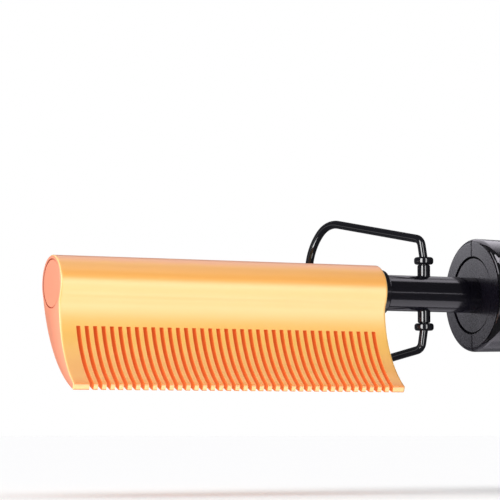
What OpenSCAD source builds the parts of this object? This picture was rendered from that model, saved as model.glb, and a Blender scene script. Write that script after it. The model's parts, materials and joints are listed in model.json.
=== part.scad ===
// Heated comb with a wire stand on its neck.
// The main axis runs along X, from the comb head at negative X to the cord inlet at the origin.
// The teeth point down, along -Z, and curl forwards, towards -Y.
// The control panel is on the handle's front, at -Y, and the stand swings behind, at +Y.
// Stations along the handle are measured from the handle's front ring and are named ..._s.

/* [Comb head] */
// Number of free teeth
tooth_count = 37; // [12:1:50]
// Distance from one tooth to the next
tooth_pitch = 2.6; // [2.2:0.1:4]
// Width of the slot between two teeth
slot_w = 1.28; // [0.8:0.02:1.6]
// Height of the slots' closed end below the main axis
slot_root_z = -12.6; // [-20:0.1:-10.5]
// Solid strip between the free end face and the first slot
free_strip = 4.96; // [4:0.02:10]
// Solid strip between the last slot and the neck end face
neck_strip = 4.06; // [2:0.02:10]
// Outer radius of the round back that holds the heater
back_r = 8.4; // [8:0.1:12]
// Wall of the round back
back_wall = 1.3; // [1:0.1:1.8]
// Radius of the blade's convex rear face
blade_rear_r = 41.75; // [40:0.05:44]
// Height of the centre of the blade's rear face above the main axis
blade_rear_z = 7.94; // [6:0.02:9]
// Radius of the blade's hollow front face
blade_front_r = 29.7; // [28:0.1:31]
// Height of the centre of the blade's front face, below the main axis
blade_front_z = -5.2; // [-7:0.1:-4]
// Thickness of the blade level with the centre of its front face
blade_root_t = 13.7; // [12.5:0.1:14.5]
// Angle below the horizontal at which the teeth end, seen from the rear face's centre
blade_end_angle = 70.5; // [60:0.5:73]

/* [Heater] */
// Depth of the end cap's plug
cap_depth = 4; // [2:0.5:8]
// Thickness of the flat heating element
heater_t = 3; // [2:0.1:4]
// Width of the flat heating element
heater_w = 11; // [8:0.5:11.5]
// Space between the end cap and the heat spreaders
spreader_front_gap = 0.3; // [0.1:0.1:5]
// Length of the spreaders' rear stretch that clamps the sensor and the fuse
spreader_rear_len = 14; // [12:0.5:25]
// Radius of the temperature sensor and of the thermal fuse
probe_r = 1.4; // [1.2:0.05:1.6]
// Length of the temperature sensor
sensor_len = 12; // [6:0.5:12]
// Length of the thermal fuse
fuse_len = 10; // [6:0.5:12]

/* [Neck] */
// Outer radius of the neck tube
tube_r = 5.62; // [5:0.02:6]
// Wall of the neck tube
tube_wall = 0.8; // [0.6:0.05:1]
// Length of neck that shows between the head and the handle
neck_len = 34.4; // [26:0.2:60]
// Depth to which the neck's collar enters the head
collar_depth = 10; // [8:0.5:14]
// Length of the collar's rim outside the head
collar_rim = 2.4; // [1:0.1:4]
// Depth to which the neck tube enters the head
tube_in_head = 8; // [7:0.5:8.5]
// Radius of the grub screw that locks the collar
grub_r = 1.45; // [1:0.05:1.6]

/* [Stand] */
// Distance from the head's neck end face to the stand's pivot
pivot_from_head = 17.2; // [10:0.2:20]
// Radius of the stand's wire
wire_r = 1.2; // [0.9:0.05:1.3]
// Distance from the pivot to the stand's far bar
stand_reach = 50.5; // [40:0.5:70]
// Half height of the stand's arms, measured at the pivot
stand_half_h = 17.1; // [16:0.1:20]
// Angle at which the two arms spread
stand_spread = 11; // [8:0.5:14]
// Centre line radius of the bend next to each leg
near_bend_r = 3.5; // [2.6:0.1:5]
// Centre line radius of the two far corners
far_bend_r = 10.5; // [5:0.5:15]
// Angle between the comb head and the stand as it is shown
stand_angle = 70; // [60:1:90]
// Outer radius of the pivot sleeves
sleeve_r = 1.9; // [1.8:0.05:2.3]
// Distance from the main axis to the pivot sleeves' outer ends
sleeve_top_z = 9.1; // [7.5:0.1:10]
// Radius of the collars on the stand's legs
bead_r = 2.95; // [2.5:0.05:3.5]
// Height of the collars on the stand's legs
bead_h = 2.4; // [1.6:0.1:3]

/* [Handle] */
// Length of the handle's casing
handle_len = 136; // [130:1:170]
// Radius of the handle at its front
handle_front_r = 17.96; // [17:0.02:20]
// Radius of the handle at its tail
handle_tail_r = 15; // [14.5:0.1:18]
// Wall of the handle's two shells
shell_wall = 2.4; // [2:0.1:3]
// Radius of the rounded front edge
shoulder_r = 1.4; // [0.8:0.1:3]
// Radius of the rounded tail edge
tail_round_r = 2.6; // [1:0.1:2.8]
// Thickness of the shells' front wall
front_wall = 3.2; // [2.4:0.1:4]
// Radius of the hole in the front wall
front_hole_r = 12.4; // [11:0.1:13]
// Ring gap between the front wall and the neck's disc
disc_gap = 0.7; // [0.3:0.05:1.2]
// Depth of the neck's disc below the handle's front face
disc_recess = 0.4; // [0:0.1:1]
// Radius of the flange that holds the neck in the handle
flange_r = 14; // [13.6:0.1:14.4]
// Thickness of the flange
flange_t = 2.4; // [2:0.1:3]
// Thickness of the ribs inside the shells
rib_t = 2; // [1.5:0.1:2.5]

/* [Controls] */
// Thickness of the control panel
panel_t = 1.2; // [0.8:0.1:1.4]
// Half width of the panel along the handle
panel_half_w = 9; // [8.6:0.1:10]
// Half width of the panel at its front edge
panel_front_half_w = 15.2; // [14:0.1:15.4]
// Angle of the panel's flared corners to its front edge
panel_flare_angle = 28; // [20:1:35]
// Radius between the panel's flared corners and its sides
panel_flare_r = 4; // [2:0.5:6]
// Distance from the handle's front to the panel's front edge
panel_front_s = 0.2; // [0.1:0.05:0.6]
// Distance from the handle's front to the panel's tail end
panel_end_s = 74; // [72:0.5:80]
// Distance from the handle's front to the display's centre
display_s = 20; // [19:0.5:20]
// Length of the display window
display_l = 20; // [14:0.5:20]
// Width of the display window
display_w = 11; // [8:0.5:11]
// Radius of the buttons
button_r = 3.6; // [3:0.1:3.9]
// Height of the buttons above the panel
button_proud = 0.9; // [0.7:0.05:1.5]
// Travel of the buttons
button_travel = 0.5; // [0.3:0.05:0.5]
// Distance from the handle's front to the plus button
plus_s = 38.5; // [37.5:0.5:39]
// Distance from the handle's front to the minus button
minus_s = 48.5; // [48:0.5:49]
// Distance from the handle's front to the power button
power_s = 60; // [59:0.5:61]

/* [Circuit board] */
// Thickness of the circuit board
board_t = 1.6; // [1:0.1:2]
// Depth of the board's front face below the handle's surface at the power button
board_depth = 6.65; // [6.4:0.05:6.8]
// Gap between the board's long edges and the handle's wall
board_edge_gap = 0.3; // [0.2:0.05:1]
// Height of the switch bodies on the board
switch_h = 2.2; // [1.8:0.1:2.4]

/* [Tail] */
// Length of the swivel outside the handle
swivel_len = 13; // [12:0.5:25]
// Radius of the bore for the cord
cord_bore_r = 3.1; // [2.4:0.05:3.5]
// Depth of the bore for the cord
cord_bore_len = 12; // [8:0.5:12]
// Radius of the swivel's neck in the tail wall
swivel_neck_r = 5.9; // [5.5:0.1:6.5]
// Radius of the swivel's flange inside the tail wall
swivel_flange_r = 8.4; // [8:0.1:9]
// Radius of the swivel's spindle
spindle_r = 3.6; // [3:0.1:4]
// Radius of the brass slip rings
slip_ring_r = 5; // [4.6:0.1:5.4]
// Width of the brass slip rings
slip_ring_w = 3.2; // [2.5:0.1:4]
// Length of the ring that clamps the shells' tails
tail_ring_len = 7; // [5:0.5:8]

/* [Hidden] */

$fn = 64;
// Gap of a piece that is fixed in its seat
seat_gap = 0.05;
// Radial gap of a piece that turns or slides in its seat
running_gap = 0.07;
// Gap between faces that pass each other
face_gap = 0.3;
// Length that a cutting solid runs past what it cuts
past = 1;
// Steps of the arc on each rounded edge of the handle and the swivel
edge_steps = 12;
// Steps of the arc in each corner of the display window
corner_steps = 6;
// Width and depth of the groove along the seam of the handle's shells
seam_w = 0.5;
seam_depth = 0.4;

// Comb head
slot_count = tooth_count + 1;
head_len = free_strip + (slot_count - 1) * tooth_pitch + slot_w + neck_strip;
bore_r = back_r - back_wall;
// Depth of the blade's rear face inside the round back, where the two meet
blade_sink = 0.24;
blade_rear_y = -sqrt(pow(blade_rear_r - back_r + blade_sink, 2) - pow(blade_rear_z, 2));
blade_root_y = blade_rear_y + sqrt(pow(blade_rear_r, 2) - pow(blade_front_z - blade_rear_z, 2));
blade_front_y = blade_root_y - blade_root_t - blade_front_r;
blade_join_z = -1;

// Stations along X
handle_back_x = -swivel_len;
handle_front_x = handle_back_x - handle_len;
head_back_x = handle_front_x - neck_len;
head_front_x = head_back_x - head_len;
pivot_x = head_back_x + pivot_from_head;

// Heater
spreader_x0 = head_front_x + cap_depth + spreader_front_gap;
spreader_x1 = head_back_x - collar_depth - seat_gap;
heater_x0 = spreader_x0 + 1;
heater_x1 = spreader_x1 - spreader_rear_len;
probe_x0 = heater_x1 + seat_gap;
sensor_y = 2.4;
fuse_y = -2.4;
heater_lead_r = 0.65;
sensor_lead_r = 0.45;

// Neck
tube_bore_r = tube_r - tube_wall;
tube_x0 = head_back_x - tube_in_head;
tube_in_handle = 23.5;
tube_x1 = handle_front_x + tube_in_handle;
grub_x = head_back_x - 4.5;

// Stand
leg_end_z = 3.7;
// The bends are a touch thicker than the straight wire, which laps into them
bend_swell = 0.03;
bend_lap = 0.3;
bead_z0 = sleeve_top_z + 0.1;
near_centre_z = stand_half_h + near_bend_r * tan(stand_spread) - near_bend_r / cos(stand_spread);
far_centre_r = stand_reach - far_bend_r;
far_centre_z = stand_half_h + far_centre_r * tan(stand_spread) - far_bend_r / cos(stand_spread);

// Handle
cavity_end_s = handle_len - 3;
boss_inset = shell_wall - 0.6;
disc_r = front_hole_r - disc_gap;
flange_s = front_wall + seat_gap;
neck_rib_s = flange_s + flange_t + seat_gap;
neck_rib_hole_r = 9.6;
clamp_s = neck_rib_s + rib_t + 0.6;
clamp_len = 10;
clamp_half_w = 11.4;
clamp_half_h = 7.4;
clamp_screw_z = 8.7;
clamp_screw_sink = 2;
clamp_screw_bite = 3;
clamp_boss_r = 2.7;
screw_r = 1.3;
screw_head_r = 2.3;
screw_head_h = 1.6;
screw_slot_w = 0.6;
screw_slot_depth = 0.8;
small_screw_r = 1;
small_boss_r = 1.9;
screw_hole_gap = 0.1;
// Length that a blind hole runs past the screw's end
screw_end_gap = 0.3;
shell_screw_s = [78.5, handle_len - 36];
shell_boss_r = 4;
shell_screw_seat_y = 7;
shell_screw_len = 13;
rebate_depth = 1.2;

// Controls
panel_gap = 0.2;
lens_gap = 0.08;
window_ledge = 1;
button_gap = 0.15;
button_base_over = 0.7;
button_base_t = 0.8;
switch_half = 2.7;
plunger_r = 1.3;
plunger_depth = 1.2;
plunger_proud = 1;
board_front_y = hundredths(handle_r(power_s) - board_depth);
board_rear_y = board_front_y - board_t;
board_front_s = neck_rib_s + rib_t + 1.3;
board_end_s = shell_screw_s[0] - shell_boss_r - 1.9;
board_half_w = hundredths(
    sqrt(pow(handle_r(board_end_s) - shell_wall - board_edge_gap, 2) - pow(board_front_y, 2)));
switch_top_y = board_front_y + switch_h;
plunger_top_y = switch_top_y + plunger_proud;
button_stop_y = plunger_top_y + button_base_t + face_gap;
display_top_y = board_front_y + 3.4;
board_post_s = 34;
board_end_post_inset = 3.4;
board_posts = [
    [board_post_s, board_half_w - small_boss_r],
    [board_post_s, small_boss_r - board_half_w],
    [board_end_s - board_end_post_inset, 0]];
board_screw_bite = 2;
terminal_s = 27;
terminal_l = 4.4;

// Tail
tail_wall_x = handle_back_x - 3;
swivel_flange_t = 2.2;
swivel_body_r = 8.2;
lead_bore_r = 1.6;
swivel_flange_x = tail_wall_x - face_gap - swivel_flange_t;
tail_rib_x = swivel_flange_x - face_gap - rib_t;
slip_ring_x = [tail_rib_x - 3.8 - slip_ring_w, tail_rib_x - 7.8 - 2 * slip_ring_w];
spindle_x0 = slip_ring_x[1] - 2;
holder_x0 = spindle_x0 + 0.5;
holder_x1 = tail_rib_x - 1;
holder_y0 = 10.2;
holder_y1 = slip_ring_r + 1.6;
holder_screw_z = 4;
holder_screw_bite = 1.4;
brush_inset = 0.5;
brush_gap = 0.1;
brush_half_w = 1.1;
brush_seat_y = holder_y1 + 2;
supply_lead_r = 0.75;
lead_gap = 0.1;
supply_lead_z = [shell_boss_r + supply_lead_r + lead_gap, shell_boss_r + 3 * supply_lead_r + 3 * lead_gap];
supply_lead_y = board_rear_y - supply_lead_r - lead_gap;
supply_terminal_s = [58, board_end_s - 7.1];
holder_half_w = supply_lead_z[1] + supply_lead_r + lead_gap;
holder_mid_x = (holder_x0 + holder_x1) / 2;

// ---- functions ----------------------------------------------------------

// Points on an arc from angle a0 to angle a1
function arc(centre, r, a0, a1, steps = 8) =
    [for (i = [0:steps]) centre + r * [cos(a0 + (a1 - a0) * i / steps), sin(a0 + (a1 - a0) * i / steps)]];

// Length rounded to a hundredth of a millimetre
function hundredths(length) = round(100 * length) / 100;

// Radius of the handle at station s
function handle_r(s) = handle_front_r + (handle_tail_r - handle_front_r) * s / handle_len;

// ---- shared shapes ------------------------------------------------------

// Cylinder along X
module x_cylinder(x0, x1, r, y = 0, z = 0) {
    translate([x0, y, z])
        rotate([0, 90, 0])
            cylinder(h = x1 - x0, r = r);
}

// Cylinder along Y
module y_cylinder(x, y0, y1, z, r) {
    translate([x, y1, z])
        rotate([90, 0, 0])
            cylinder(h = y1 - y0, r = r);
}

// Box given by its two corners
module block(low, high) {
    translate(low)
        cube(high - low);
}

// Outline in Y and Z drawn out along X
module drawn_along_x(x0, x1) {
    translate([x0, 0, 0])
        rotate([90, 0, 90])
            linear_extrude(x1 - x0)
                children();
}

// Outline in station and Z, as a prism through the handle's front half
module through_front(y0, y1) {
    translate([handle_front_x, -y0, 0])
        rotate([90, 0, 0])
            linear_extrude(y1 - y0)
                children();
}

// Profile in radius and station, turned about the main axis
module turned_handle() {
    translate([handle_front_x, 0, 0])
        rotate([0, 90, 0])
            rotate_extrude($fn = 96)
                children();
}

// Screw along Y: its head is at y_seat on the side that dir points to
module y_screw(x, z, y_seat, len, dir = 1, r = screw_r) {
    translate([x, y_seat, z])
        rotate([-90 * dir, 0, 0]) {
            difference() {
                cylinder(h = screw_head_h, r = screw_head_r);
                for (turn = [0, 90])
                    rotate([0, 0, turn])
                        block([-1.5, -screw_slot_w / 2, screw_head_h - screw_slot_depth],
                              [1.5, screw_slot_w / 2, screw_head_h + past]);
            }
            translate([0, 0, -len])
                cylinder(h = len, r = r);
        }
}

// ---- comb head ----------------------------------------------------------

// Crescent of the blade, cut square across its tip
module blade_outline() {
    reach = 2 * blade_rear_r + 2 * back_r;
    difference() {
        translate([blade_rear_y, blade_rear_z])
            circle(r = blade_rear_r, $fn = 180);
        translate([blade_front_y, blade_front_z])
            circle(r = blade_front_r, $fn = 180);
        translate([-reach, blade_join_z])
            square([2 * reach, reach]);
        translate([blade_rear_y, blade_rear_z])
            rotate(-blade_end_angle)
                translate([-reach, -reach])
                    square([2 * reach, reach]);
    }
}

module comb_head() {
    color([0.96, 0.68, 0.34])
        difference() {
            drawn_along_x(head_front_x, head_back_x)
                union() {
                    circle(r = back_r);
                    blade_outline();
                }
            x_cylinder(head_front_x - past, head_back_x + past, bore_r);
            for (i = [0:slot_count - 1])
                translate([head_front_x + free_strip + i * tooth_pitch, blade_front_y,
                           slot_root_z - blade_rear_r])
                    cube([slot_w, 2 * blade_rear_r, blade_rear_r]);
            y_cylinder(grub_x, 0, back_r + past, 0, grub_r + seat_gap);
        }
}

module head_end_cap() {
    color([0.95, 0.60, 0.46])
        x_cylinder(head_front_x, head_front_x + cap_depth, bore_r - seat_gap);
}

// ---- heater -------------------------------------------------------------

module heater_element() {
    color("lightgrey")
        block([heater_x0, -heater_w / 2, -heater_t / 2], [heater_x1, heater_w / 2, heater_t / 2]);
}

// Half round bar that presses the element against the head's bore
module heat_spreader(side) {
    flat_z = heater_t / 2 + seat_gap;
    intersection() {
        x_cylinder(spreader_x0, spreader_x1, bore_r - seat_gap);
        block([spreader_x0 - past, -back_r, side > 0 ? flat_z : -back_r],
              [spreader_x1 + past, back_r, side > 0 ? back_r : -flat_z]);
    }
}

module upper_heat_spreader() {
    color("silver")
        heat_spreader(1);
}

module lower_heat_spreader() {
    color("silver")
        heat_spreader(-1);
}

module temperature_sensor() {
    color("ivory")
        x_cylinder(probe_x0, probe_x0 + sensor_len, min(probe_r, heater_t / 2), sensor_y);
}

module thermal_fuse() {
    color("gainsboro")
        x_cylinder(probe_x0, probe_x0 + fuse_len, min(probe_r, heater_t / 2), fuse_y);
}

// ---- neck ---------------------------------------------------------------

module neck_collar() {
    color([0.12, 0.12, 0.13])
        difference() {
            x_cylinder(head_back_x - collar_depth, head_back_x + collar_rim, bore_r - seat_gap);
            x_cylinder(tube_x0 - seat_gap, head_back_x + collar_rim + past, tube_r + seat_gap);
            x_cylinder(head_back_x - collar_depth - past, tube_x0, tube_bore_r);
            y_cylinder(grub_x, 0, back_r, 0, grub_r + seat_gap);
        }
}

module collar_grub_screw() {
    slot_half = 0.25;
    color("dimgrey")
        difference() {
            y_cylinder(grub_x, tube_r + 2 * seat_gap, back_r - 0.5, 0, grub_r);
            block([grub_x - grub_r - past, back_r - 1.1, -slot_half],
                  [grub_x + grub_r + past, back_r, slot_half]);
        }
}

module neck_tube() {
    color([0.15, 0.15, 0.17])
        difference() {
            x_cylinder(tube_x0, tube_x1, tube_r);
            x_cylinder(tube_x0 - past, tube_x1 + past, tube_bore_r);
            translate([pivot_x, 0, -tube_r - past])
                cylinder(h = 2 * (tube_r + past), r = sleeve_r + seat_gap);
        }
}

// Sleeve of one side, pressed into the tube's cross hole
module pivot_sleeve() {
    z0 = tube_bore_r - 0.5;
    difference() {
        translate([0, 0, z0])
            cylinder(h = sleeve_top_z - z0, r = sleeve_r);
        translate([0, 0, z0 - past])
            cylinder(h = sleeve_top_z - z0 + 2 * past, r = wire_r + running_gap);
    }
}

module pivot_sleeves() {
    color([0.1, 0.1, 0.11])
        translate([pivot_x, 0, 0])
            for (side = [0, 1])
                mirror([0, 0, side])
                    pivot_sleeve();
}

// ---- stand --------------------------------------------------------------

// Places children in the stand's plane, where X is the distance from the pivot
module in_stand_plane() {
    translate([pivot_x, 0, 0])
        rotate([0, 0, 180 - stand_angle])
            children();
}

// Bend of the wire in the stand's plane
module wire_bend(centre, r, start, turn) {
    translate([centre[0], 0, centre[1]])
        rotate([90, 0, 0])
            rotate([0, 0, start])
                rotate_extrude(angle = turn)
                    translate([r, 0])
                        circle(r = wire_r + bend_swell, $fn = 32);
}

// Straight stretch of the wire between two points in the stand's plane, lapped into both bends
module wire_run(from, to) {
    run = to - from;
    translate([from[0], 0, from[1]])
        rotate([0, 90 - atan2(run[1], run[0]), 0])
            translate([0, 0, -bend_lap])
                cylinder(h = norm(run) + 2 * bend_lap, r = wire_r, $fn = 32);
}

module wire_half() {
    lean = [-sin(stand_spread), cos(stand_spread)];
    near = [near_bend_r, near_centre_z];
    far = [far_centre_r, far_centre_z];
    wire_run([0, leg_end_z + bend_lap], [0, near_centre_z]);
    wire_bend(near, near_bend_r, 90 + stand_spread, 90 - stand_spread);
    wire_run(near + near_bend_r * lean, far + far_bend_r * lean);
    wire_bend(far, far_bend_r, 0, 90 + stand_spread);
}

module wire_stand() {
    color([0.08, 0.08, 0.09])
        in_stand_plane() {
            wire_half();
            mirror([0, 0, 1])
                wire_half();
            wire_run([stand_reach, -far_centre_z], [stand_reach, far_centre_z]);
        }
}

// Collar of one leg, with a rounded rim
module stand_collar() {
    rim = bead_h / 3;
    translate([0, 0, bead_z0])
        rotate_extrude()
            polygon(concat(
                [[wire_r + seat_gap, 0]],
                arc([bead_r - rim, rim], rim, -90, 0, 4),
                arc([bead_r - rim, bead_h - rim], rim, 0, 90, 4),
                [[wire_r + seat_gap, bead_h]]));
}

module stand_collars() {
    color([0.08, 0.08, 0.09])
        in_stand_plane()
            for (side = [0, 1])
                mirror([0, 0, side])
                    stand_collar();
}

// ---- neck to handle -----------------------------------------------------

module neck_flange() {
    color([0.16, 0.16, 0.18])
        difference() {
            union() {
                x_cylinder(handle_front_x + disc_recess, handle_front_x + flange_s + past, disc_r);
                x_cylinder(handle_front_x + flange_s, handle_front_x + flange_s + flange_t, flange_r);
            }
            x_cylinder(handle_front_x - past, handle_front_x + 20, tube_r + seat_gap);
        }
}

module tube_clamp() {
    x0 = handle_front_x + clamp_s;
    x1 = x0 + clamp_len;
    color("darkgrey")
        difference() {
            block([x0, -clamp_half_h, -clamp_half_w], [x1, clamp_half_h, clamp_half_w]);
            x_cylinder(x0 - past, x1 + past, tube_r + seat_gap);
            for (z = [-clamp_screw_z, clamp_screw_z]) {
                y_cylinder(x0 + clamp_len / 2, -clamp_half_h - past, clamp_half_h + past, z,
                           screw_r + screw_hole_gap);
                y_cylinder(x0 + clamp_len / 2, -clamp_half_h - past, clamp_screw_sink - clamp_half_h, z,
                           screw_head_r + screw_hole_gap);
            }
        }
}

module clamp_screws() {
    color("silver")
        for (z = [-clamp_screw_z, clamp_screw_z])
            y_screw(handle_front_x + clamp_s + clamp_len / 2, z, clamp_screw_sink - clamp_half_h,
                    2 * clamp_half_h - clamp_screw_sink + clamp_screw_bite, -1);
}

// ---- handle -------------------------------------------------------------

// Solid inside the casing's outer surface, drawn in by inset
module handle_core(inset) {
    turned_handle()
        polygon([
            [0, 0],
            [handle_r(0) - inset, 0],
            [handle_r(handle_len) - inset, handle_len],
            [0, handle_len]]);
}

// Solid inside the casing's outer surface, with both edges rounded, drawn in by inset
module handle_outside(inset = 0) {
    tail = handle_r(handle_len) - tail_round_r;
    turned_handle()
        polygon(concat(
            [[0, inset]],
            arc([handle_r(0) - shoulder_r, shoulder_r], shoulder_r - inset, -90, 0, edge_steps),
            arc([tail, handle_len - tail_round_r], tail_round_r - inset, 0, 90, edge_steps),
            [[0, handle_len - inset]]));
}

// Groove round the handle where the two shells meet
module seam_groove() {
    wide = handle_front_r + past;
    difference() {
        block([handle_front_x - past, -seam_w / 2, -wide], [handle_back_x + past, seam_w / 2, wide]);
        handle_outside(seam_depth);
    }
}

module handle_cavity() {
    turned_handle()
        polygon([
            [0, front_wall],
            [handle_r(front_wall) - shell_wall, front_wall],
            [handle_r(cavity_end_s) - shell_wall, cavity_end_s],
            [0, cavity_end_s]]);
}

// Rib across the handle, with a hole for what passes through it
module rib(x, hole_r) {
    difference() {
        x_cylinder(x, x + rib_t, handle_r(x - handle_front_x) - shell_wall + 0.5);
        x_cylinder(x - past, x + rib_t + past, hole_r);
    }
}

// Both shells in one piece: wall, ribs and end holes
module casing() {
    difference() {
        handle_outside();
        handle_cavity();
        seam_groove();
        x_cylinder(handle_front_x - past, handle_front_x + front_wall + past, front_hole_r);
        x_cylinder(tail_wall_x - past, handle_back_x + past, swivel_neck_r + running_gap);
        difference() {
            x_cylinder(handle_back_x - tail_ring_len, handle_back_x + past, handle_front_r + past);
            x_cylinder(handle_back_x - tail_ring_len - past, handle_back_x + 2 * past,
                       handle_tail_r - rebate_depth);
        }
    }
    rib(handle_front_x + neck_rib_s, neck_rib_hole_r);
    rib(tail_rib_x, spindle_r + running_gap);
}

// One half of the casing: side is -1 for the front and 1 for the back
module casing_half(side) {
    wide = handle_front_r + past;
    intersection() {
        casing();
        block([handle_front_x - past, side < 0 ? -wide : 0, -wide],
              [handle_back_x + past, side < 0 ? 0 : wide, wide]);
    }
}

module handle_front_shell() {
    color([0.1, 0.1, 0.11])
        difference() {
            union() {
                casing_half(-1);
                intersection() {
                    handle_core(boss_inset);
                    union() {
                        for (s = shell_screw_s)
                            y_cylinder(handle_front_x + s, -handle_front_r, 0, 0, shell_boss_r);
                        for (post = board_posts)
                            y_cylinder(handle_front_x + post[0], -handle_front_r, -board_front_y, post[1],
                                       small_boss_r);
                        for (z = [-holder_screw_z, holder_screw_z])
                            y_cylinder(holder_mid_x, -handle_front_r, -holder_y0, z, small_boss_r);
                    }
                }
            }
            for (s = shell_screw_s)
                y_cylinder(handle_front_x + s, -shell_screw_len, past, 0, screw_r + seat_gap);
            for (post = board_posts)
                y_cylinder(handle_front_x + post[0], -board_front_y - board_screw_bite - screw_end_gap, 0,
                           post[1], small_screw_r + seat_gap);
            for (z = [-holder_screw_z, holder_screw_z])
                y_cylinder(holder_mid_x, -holder_y0 - holder_screw_bite - screw_end_gap, 0, z,
                           small_screw_r + seat_gap);
            panel_pocket();
            through_front(board_front_y, handle_front_r + past)
                window_outline(-window_ledge);
            for (s = [plus_s, minus_s, power_s]) {
                y_cylinder(handle_front_x + s, -handle_front_r - past, -board_front_y, 0,
                           button_r + button_gap);
                y_cylinder(handle_front_x + s, -button_stop_y, -board_front_y, 0,
                           button_r + button_base_over + face_gap);
            }
        }
}

module handle_back_shell() {
    clamp_x = handle_front_x + clamp_s + clamp_len / 2;
    color([0.1, 0.1, 0.11])
        difference() {
            union() {
                casing_half(1);
                intersection() {
                    handle_core(boss_inset);
                    union() {
                        for (s = shell_screw_s)
                            y_cylinder(handle_front_x + s, 0, handle_front_r, 0, shell_boss_r);
                        for (z = [-clamp_screw_z, clamp_screw_z])
                            y_cylinder(clamp_x, clamp_half_h, handle_front_r, z, clamp_boss_r);
                    }
                }
            }
            for (s = shell_screw_s) {
                y_cylinder(handle_front_x + s, -past, handle_front_r + past, 0, screw_r + screw_hole_gap);
                y_cylinder(handle_front_x + s, shell_screw_seat_y, handle_front_r + past, 0,
                           screw_head_r + 2 * screw_hole_gap);
            }
            for (z = [-clamp_screw_z, clamp_screw_z])
                y_cylinder(clamp_x, 0, clamp_half_h + clamp_screw_bite + screw_end_gap, z,
                           screw_r + seat_gap);
        }
}

module shell_screws() {
    color("silver")
        for (s = shell_screw_s)
            y_screw(handle_front_x + s, 0, shell_screw_seat_y, shell_screw_seat_y + shell_screw_len - 1);
}

module tail_ring() {
    color([0.2, 0.2, 0.22])
        intersection() {
            handle_outside();
            difference() {
                x_cylinder(handle_back_x - tail_ring_len + seat_gap, handle_back_x, handle_front_r + past);
                x_cylinder(handle_back_x - tail_ring_len - past, handle_back_x + past,
                           handle_tail_r - rebate_depth + seat_gap);
            }
        }
}

// ---- controls -----------------------------------------------------------

// Panel's outline in station and Z, grown by grow on its sides: straight flared corners
// at the front, then a fillet into parallel sides, and a round tail end
module panel_outline(front, grow) {
    fillet = panel_flare_r - grow;
    centre_z = panel_half_w + panel_flare_r;
    flare_z = centre_z - panel_flare_r * sin(panel_flare_angle);
    centre_s = panel_front_s + (panel_front_half_w - flare_z) * tan(panel_flare_angle)
        + panel_flare_r * cos(panel_flare_angle);
    fillet_s = centre_s - fillet * cos(panel_flare_angle);
    fillet_z = centre_z - fillet * sin(panel_flare_angle);
    upper = concat(
        [[front, fillet_z + (fillet_s - front) / tan(panel_flare_angle)]],
        arc([centre_s, centre_z], fillet, 180 + panel_flare_angle, 270, 8),
        arc([panel_end_s - panel_half_w, 0], panel_half_w + grow, 90, 0, 12));
    lower = [for (i = [len(upper) - 2:-1:0]) [upper[i][0], -upper[i][1]]];
    polygon(concat(upper, lower));
}

// Display window's outline in station and Z, with round corners
module window_outline(grow) {
    corner = 1.6;
    l = display_l / 2 + grow;
    w = display_w / 2 + grow;
    polygon([for (q = [0:3])
        for (a = [0:corner_steps])
            let (sx = q == 0 || q == 3 ? 1 : -1, sz = q < 2 ? 1 : -1, turn = 90 * (q + a / corner_steps))
            [display_s + sx * (l - corner) + corner * cos(turn),
             sz * (w - corner) + corner * sin(turn)]]);
}

module panel_pocket() {
    difference() {
        through_front(shell_wall, handle_front_r + past)
            panel_outline(-past, panel_gap);
        handle_core(panel_t + seat_gap);
    }
}

module control_panel() {
    color([0.05, 0.05, 0.06])
        difference() {
            intersection() {
                handle_outside();
                through_front(shell_wall, handle_front_r + past)
                    panel_outline(panel_front_s, 0);
            }
            handle_core(panel_t);
            through_front(board_front_y, handle_front_r + past)
                window_outline(0);
            for (s = [plus_s, minus_s, power_s])
                y_cylinder(handle_front_x + s, -handle_front_r - past, -board_front_y, 0,
                           button_r + button_gap);
        }
}

module display_window() {
    color([0.2, 0.22, 0.26, 0.6])
        difference() {
            intersection() {
                handle_outside();
                through_front(board_front_y, handle_front_r + past)
                    window_outline(-lens_gap);
            }
            handle_core(panel_t);
        }
}

module display_module() {
    half_l = display_l / 2 - window_ledge - face_gap;
    half_w = display_w / 2 - window_ledge - face_gap;
    x = handle_front_x + display_s;
    color("white")
        block([x - half_l, -display_top_y, -half_w], [x + half_l, -board_front_y, half_w]);
}

// ---- circuit board ------------------------------------------------------

module circuit_board() {
    color("seagreen")
        difference() {
            block([handle_front_x + board_front_s, -board_front_y, -board_half_w],
                  [handle_front_x + board_end_s, -board_rear_y, board_half_w]);
            for (post = board_posts)
                y_cylinder(handle_front_x + post[0], -board_front_y - past, 0, post[1],
                           small_screw_r + screw_hole_gap);
        }
}

module board_screws() {
    color("silver")
        for (post = board_posts)
            y_screw(handle_front_x + post[0], post[1], -board_rear_y, board_t + board_screw_bite, 1,
                    small_screw_r);
}

module switch_bodies() {
    color("dimgrey")
        for (s = [plus_s, minus_s, power_s])
            difference() {
                block([handle_front_x + s - switch_half, -switch_top_y, -switch_half],
                      [handle_front_x + s + switch_half, -board_front_y, switch_half]);
                y_cylinder(handle_front_x + s, -switch_top_y - past,
                           plunger_depth + button_travel - switch_top_y, 0, plunger_r + running_gap);
            }
}

// Plunger that a button pushes into its switch
module plunger(s) {
    y_cylinder(handle_front_x + s, -plunger_top_y, -switch_top_y + plunger_depth, 0, plunger_r);
}

// Button with a crowned top and a base that keeps it behind the shell
module button(s) {
    top_y = handle_r(s) + button_proud;
    translate([handle_front_x + s, -plunger_top_y, 0])
        rotate([90, 0, 0])
            rotate_extrude()
                polygon(concat(
                    [[0, 0], [button_r + button_base_over, 0],
                     [button_r + button_base_over, button_base_t], [button_r, button_base_t]],
                    arc([button_r - 0.5, top_y - plunger_top_y - 0.7], 0.5, 0, 75, 4),
                    [[0, top_y - plunger_top_y]]));
}

module plus_button() {
    color([0.14, 0.14, 0.15])
        button(plus_s);
}

module plus_plunger() {
    color("black")
        plunger(plus_s);
}

module minus_button() {
    color([0.14, 0.14, 0.15])
        button(minus_s);
}

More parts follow.
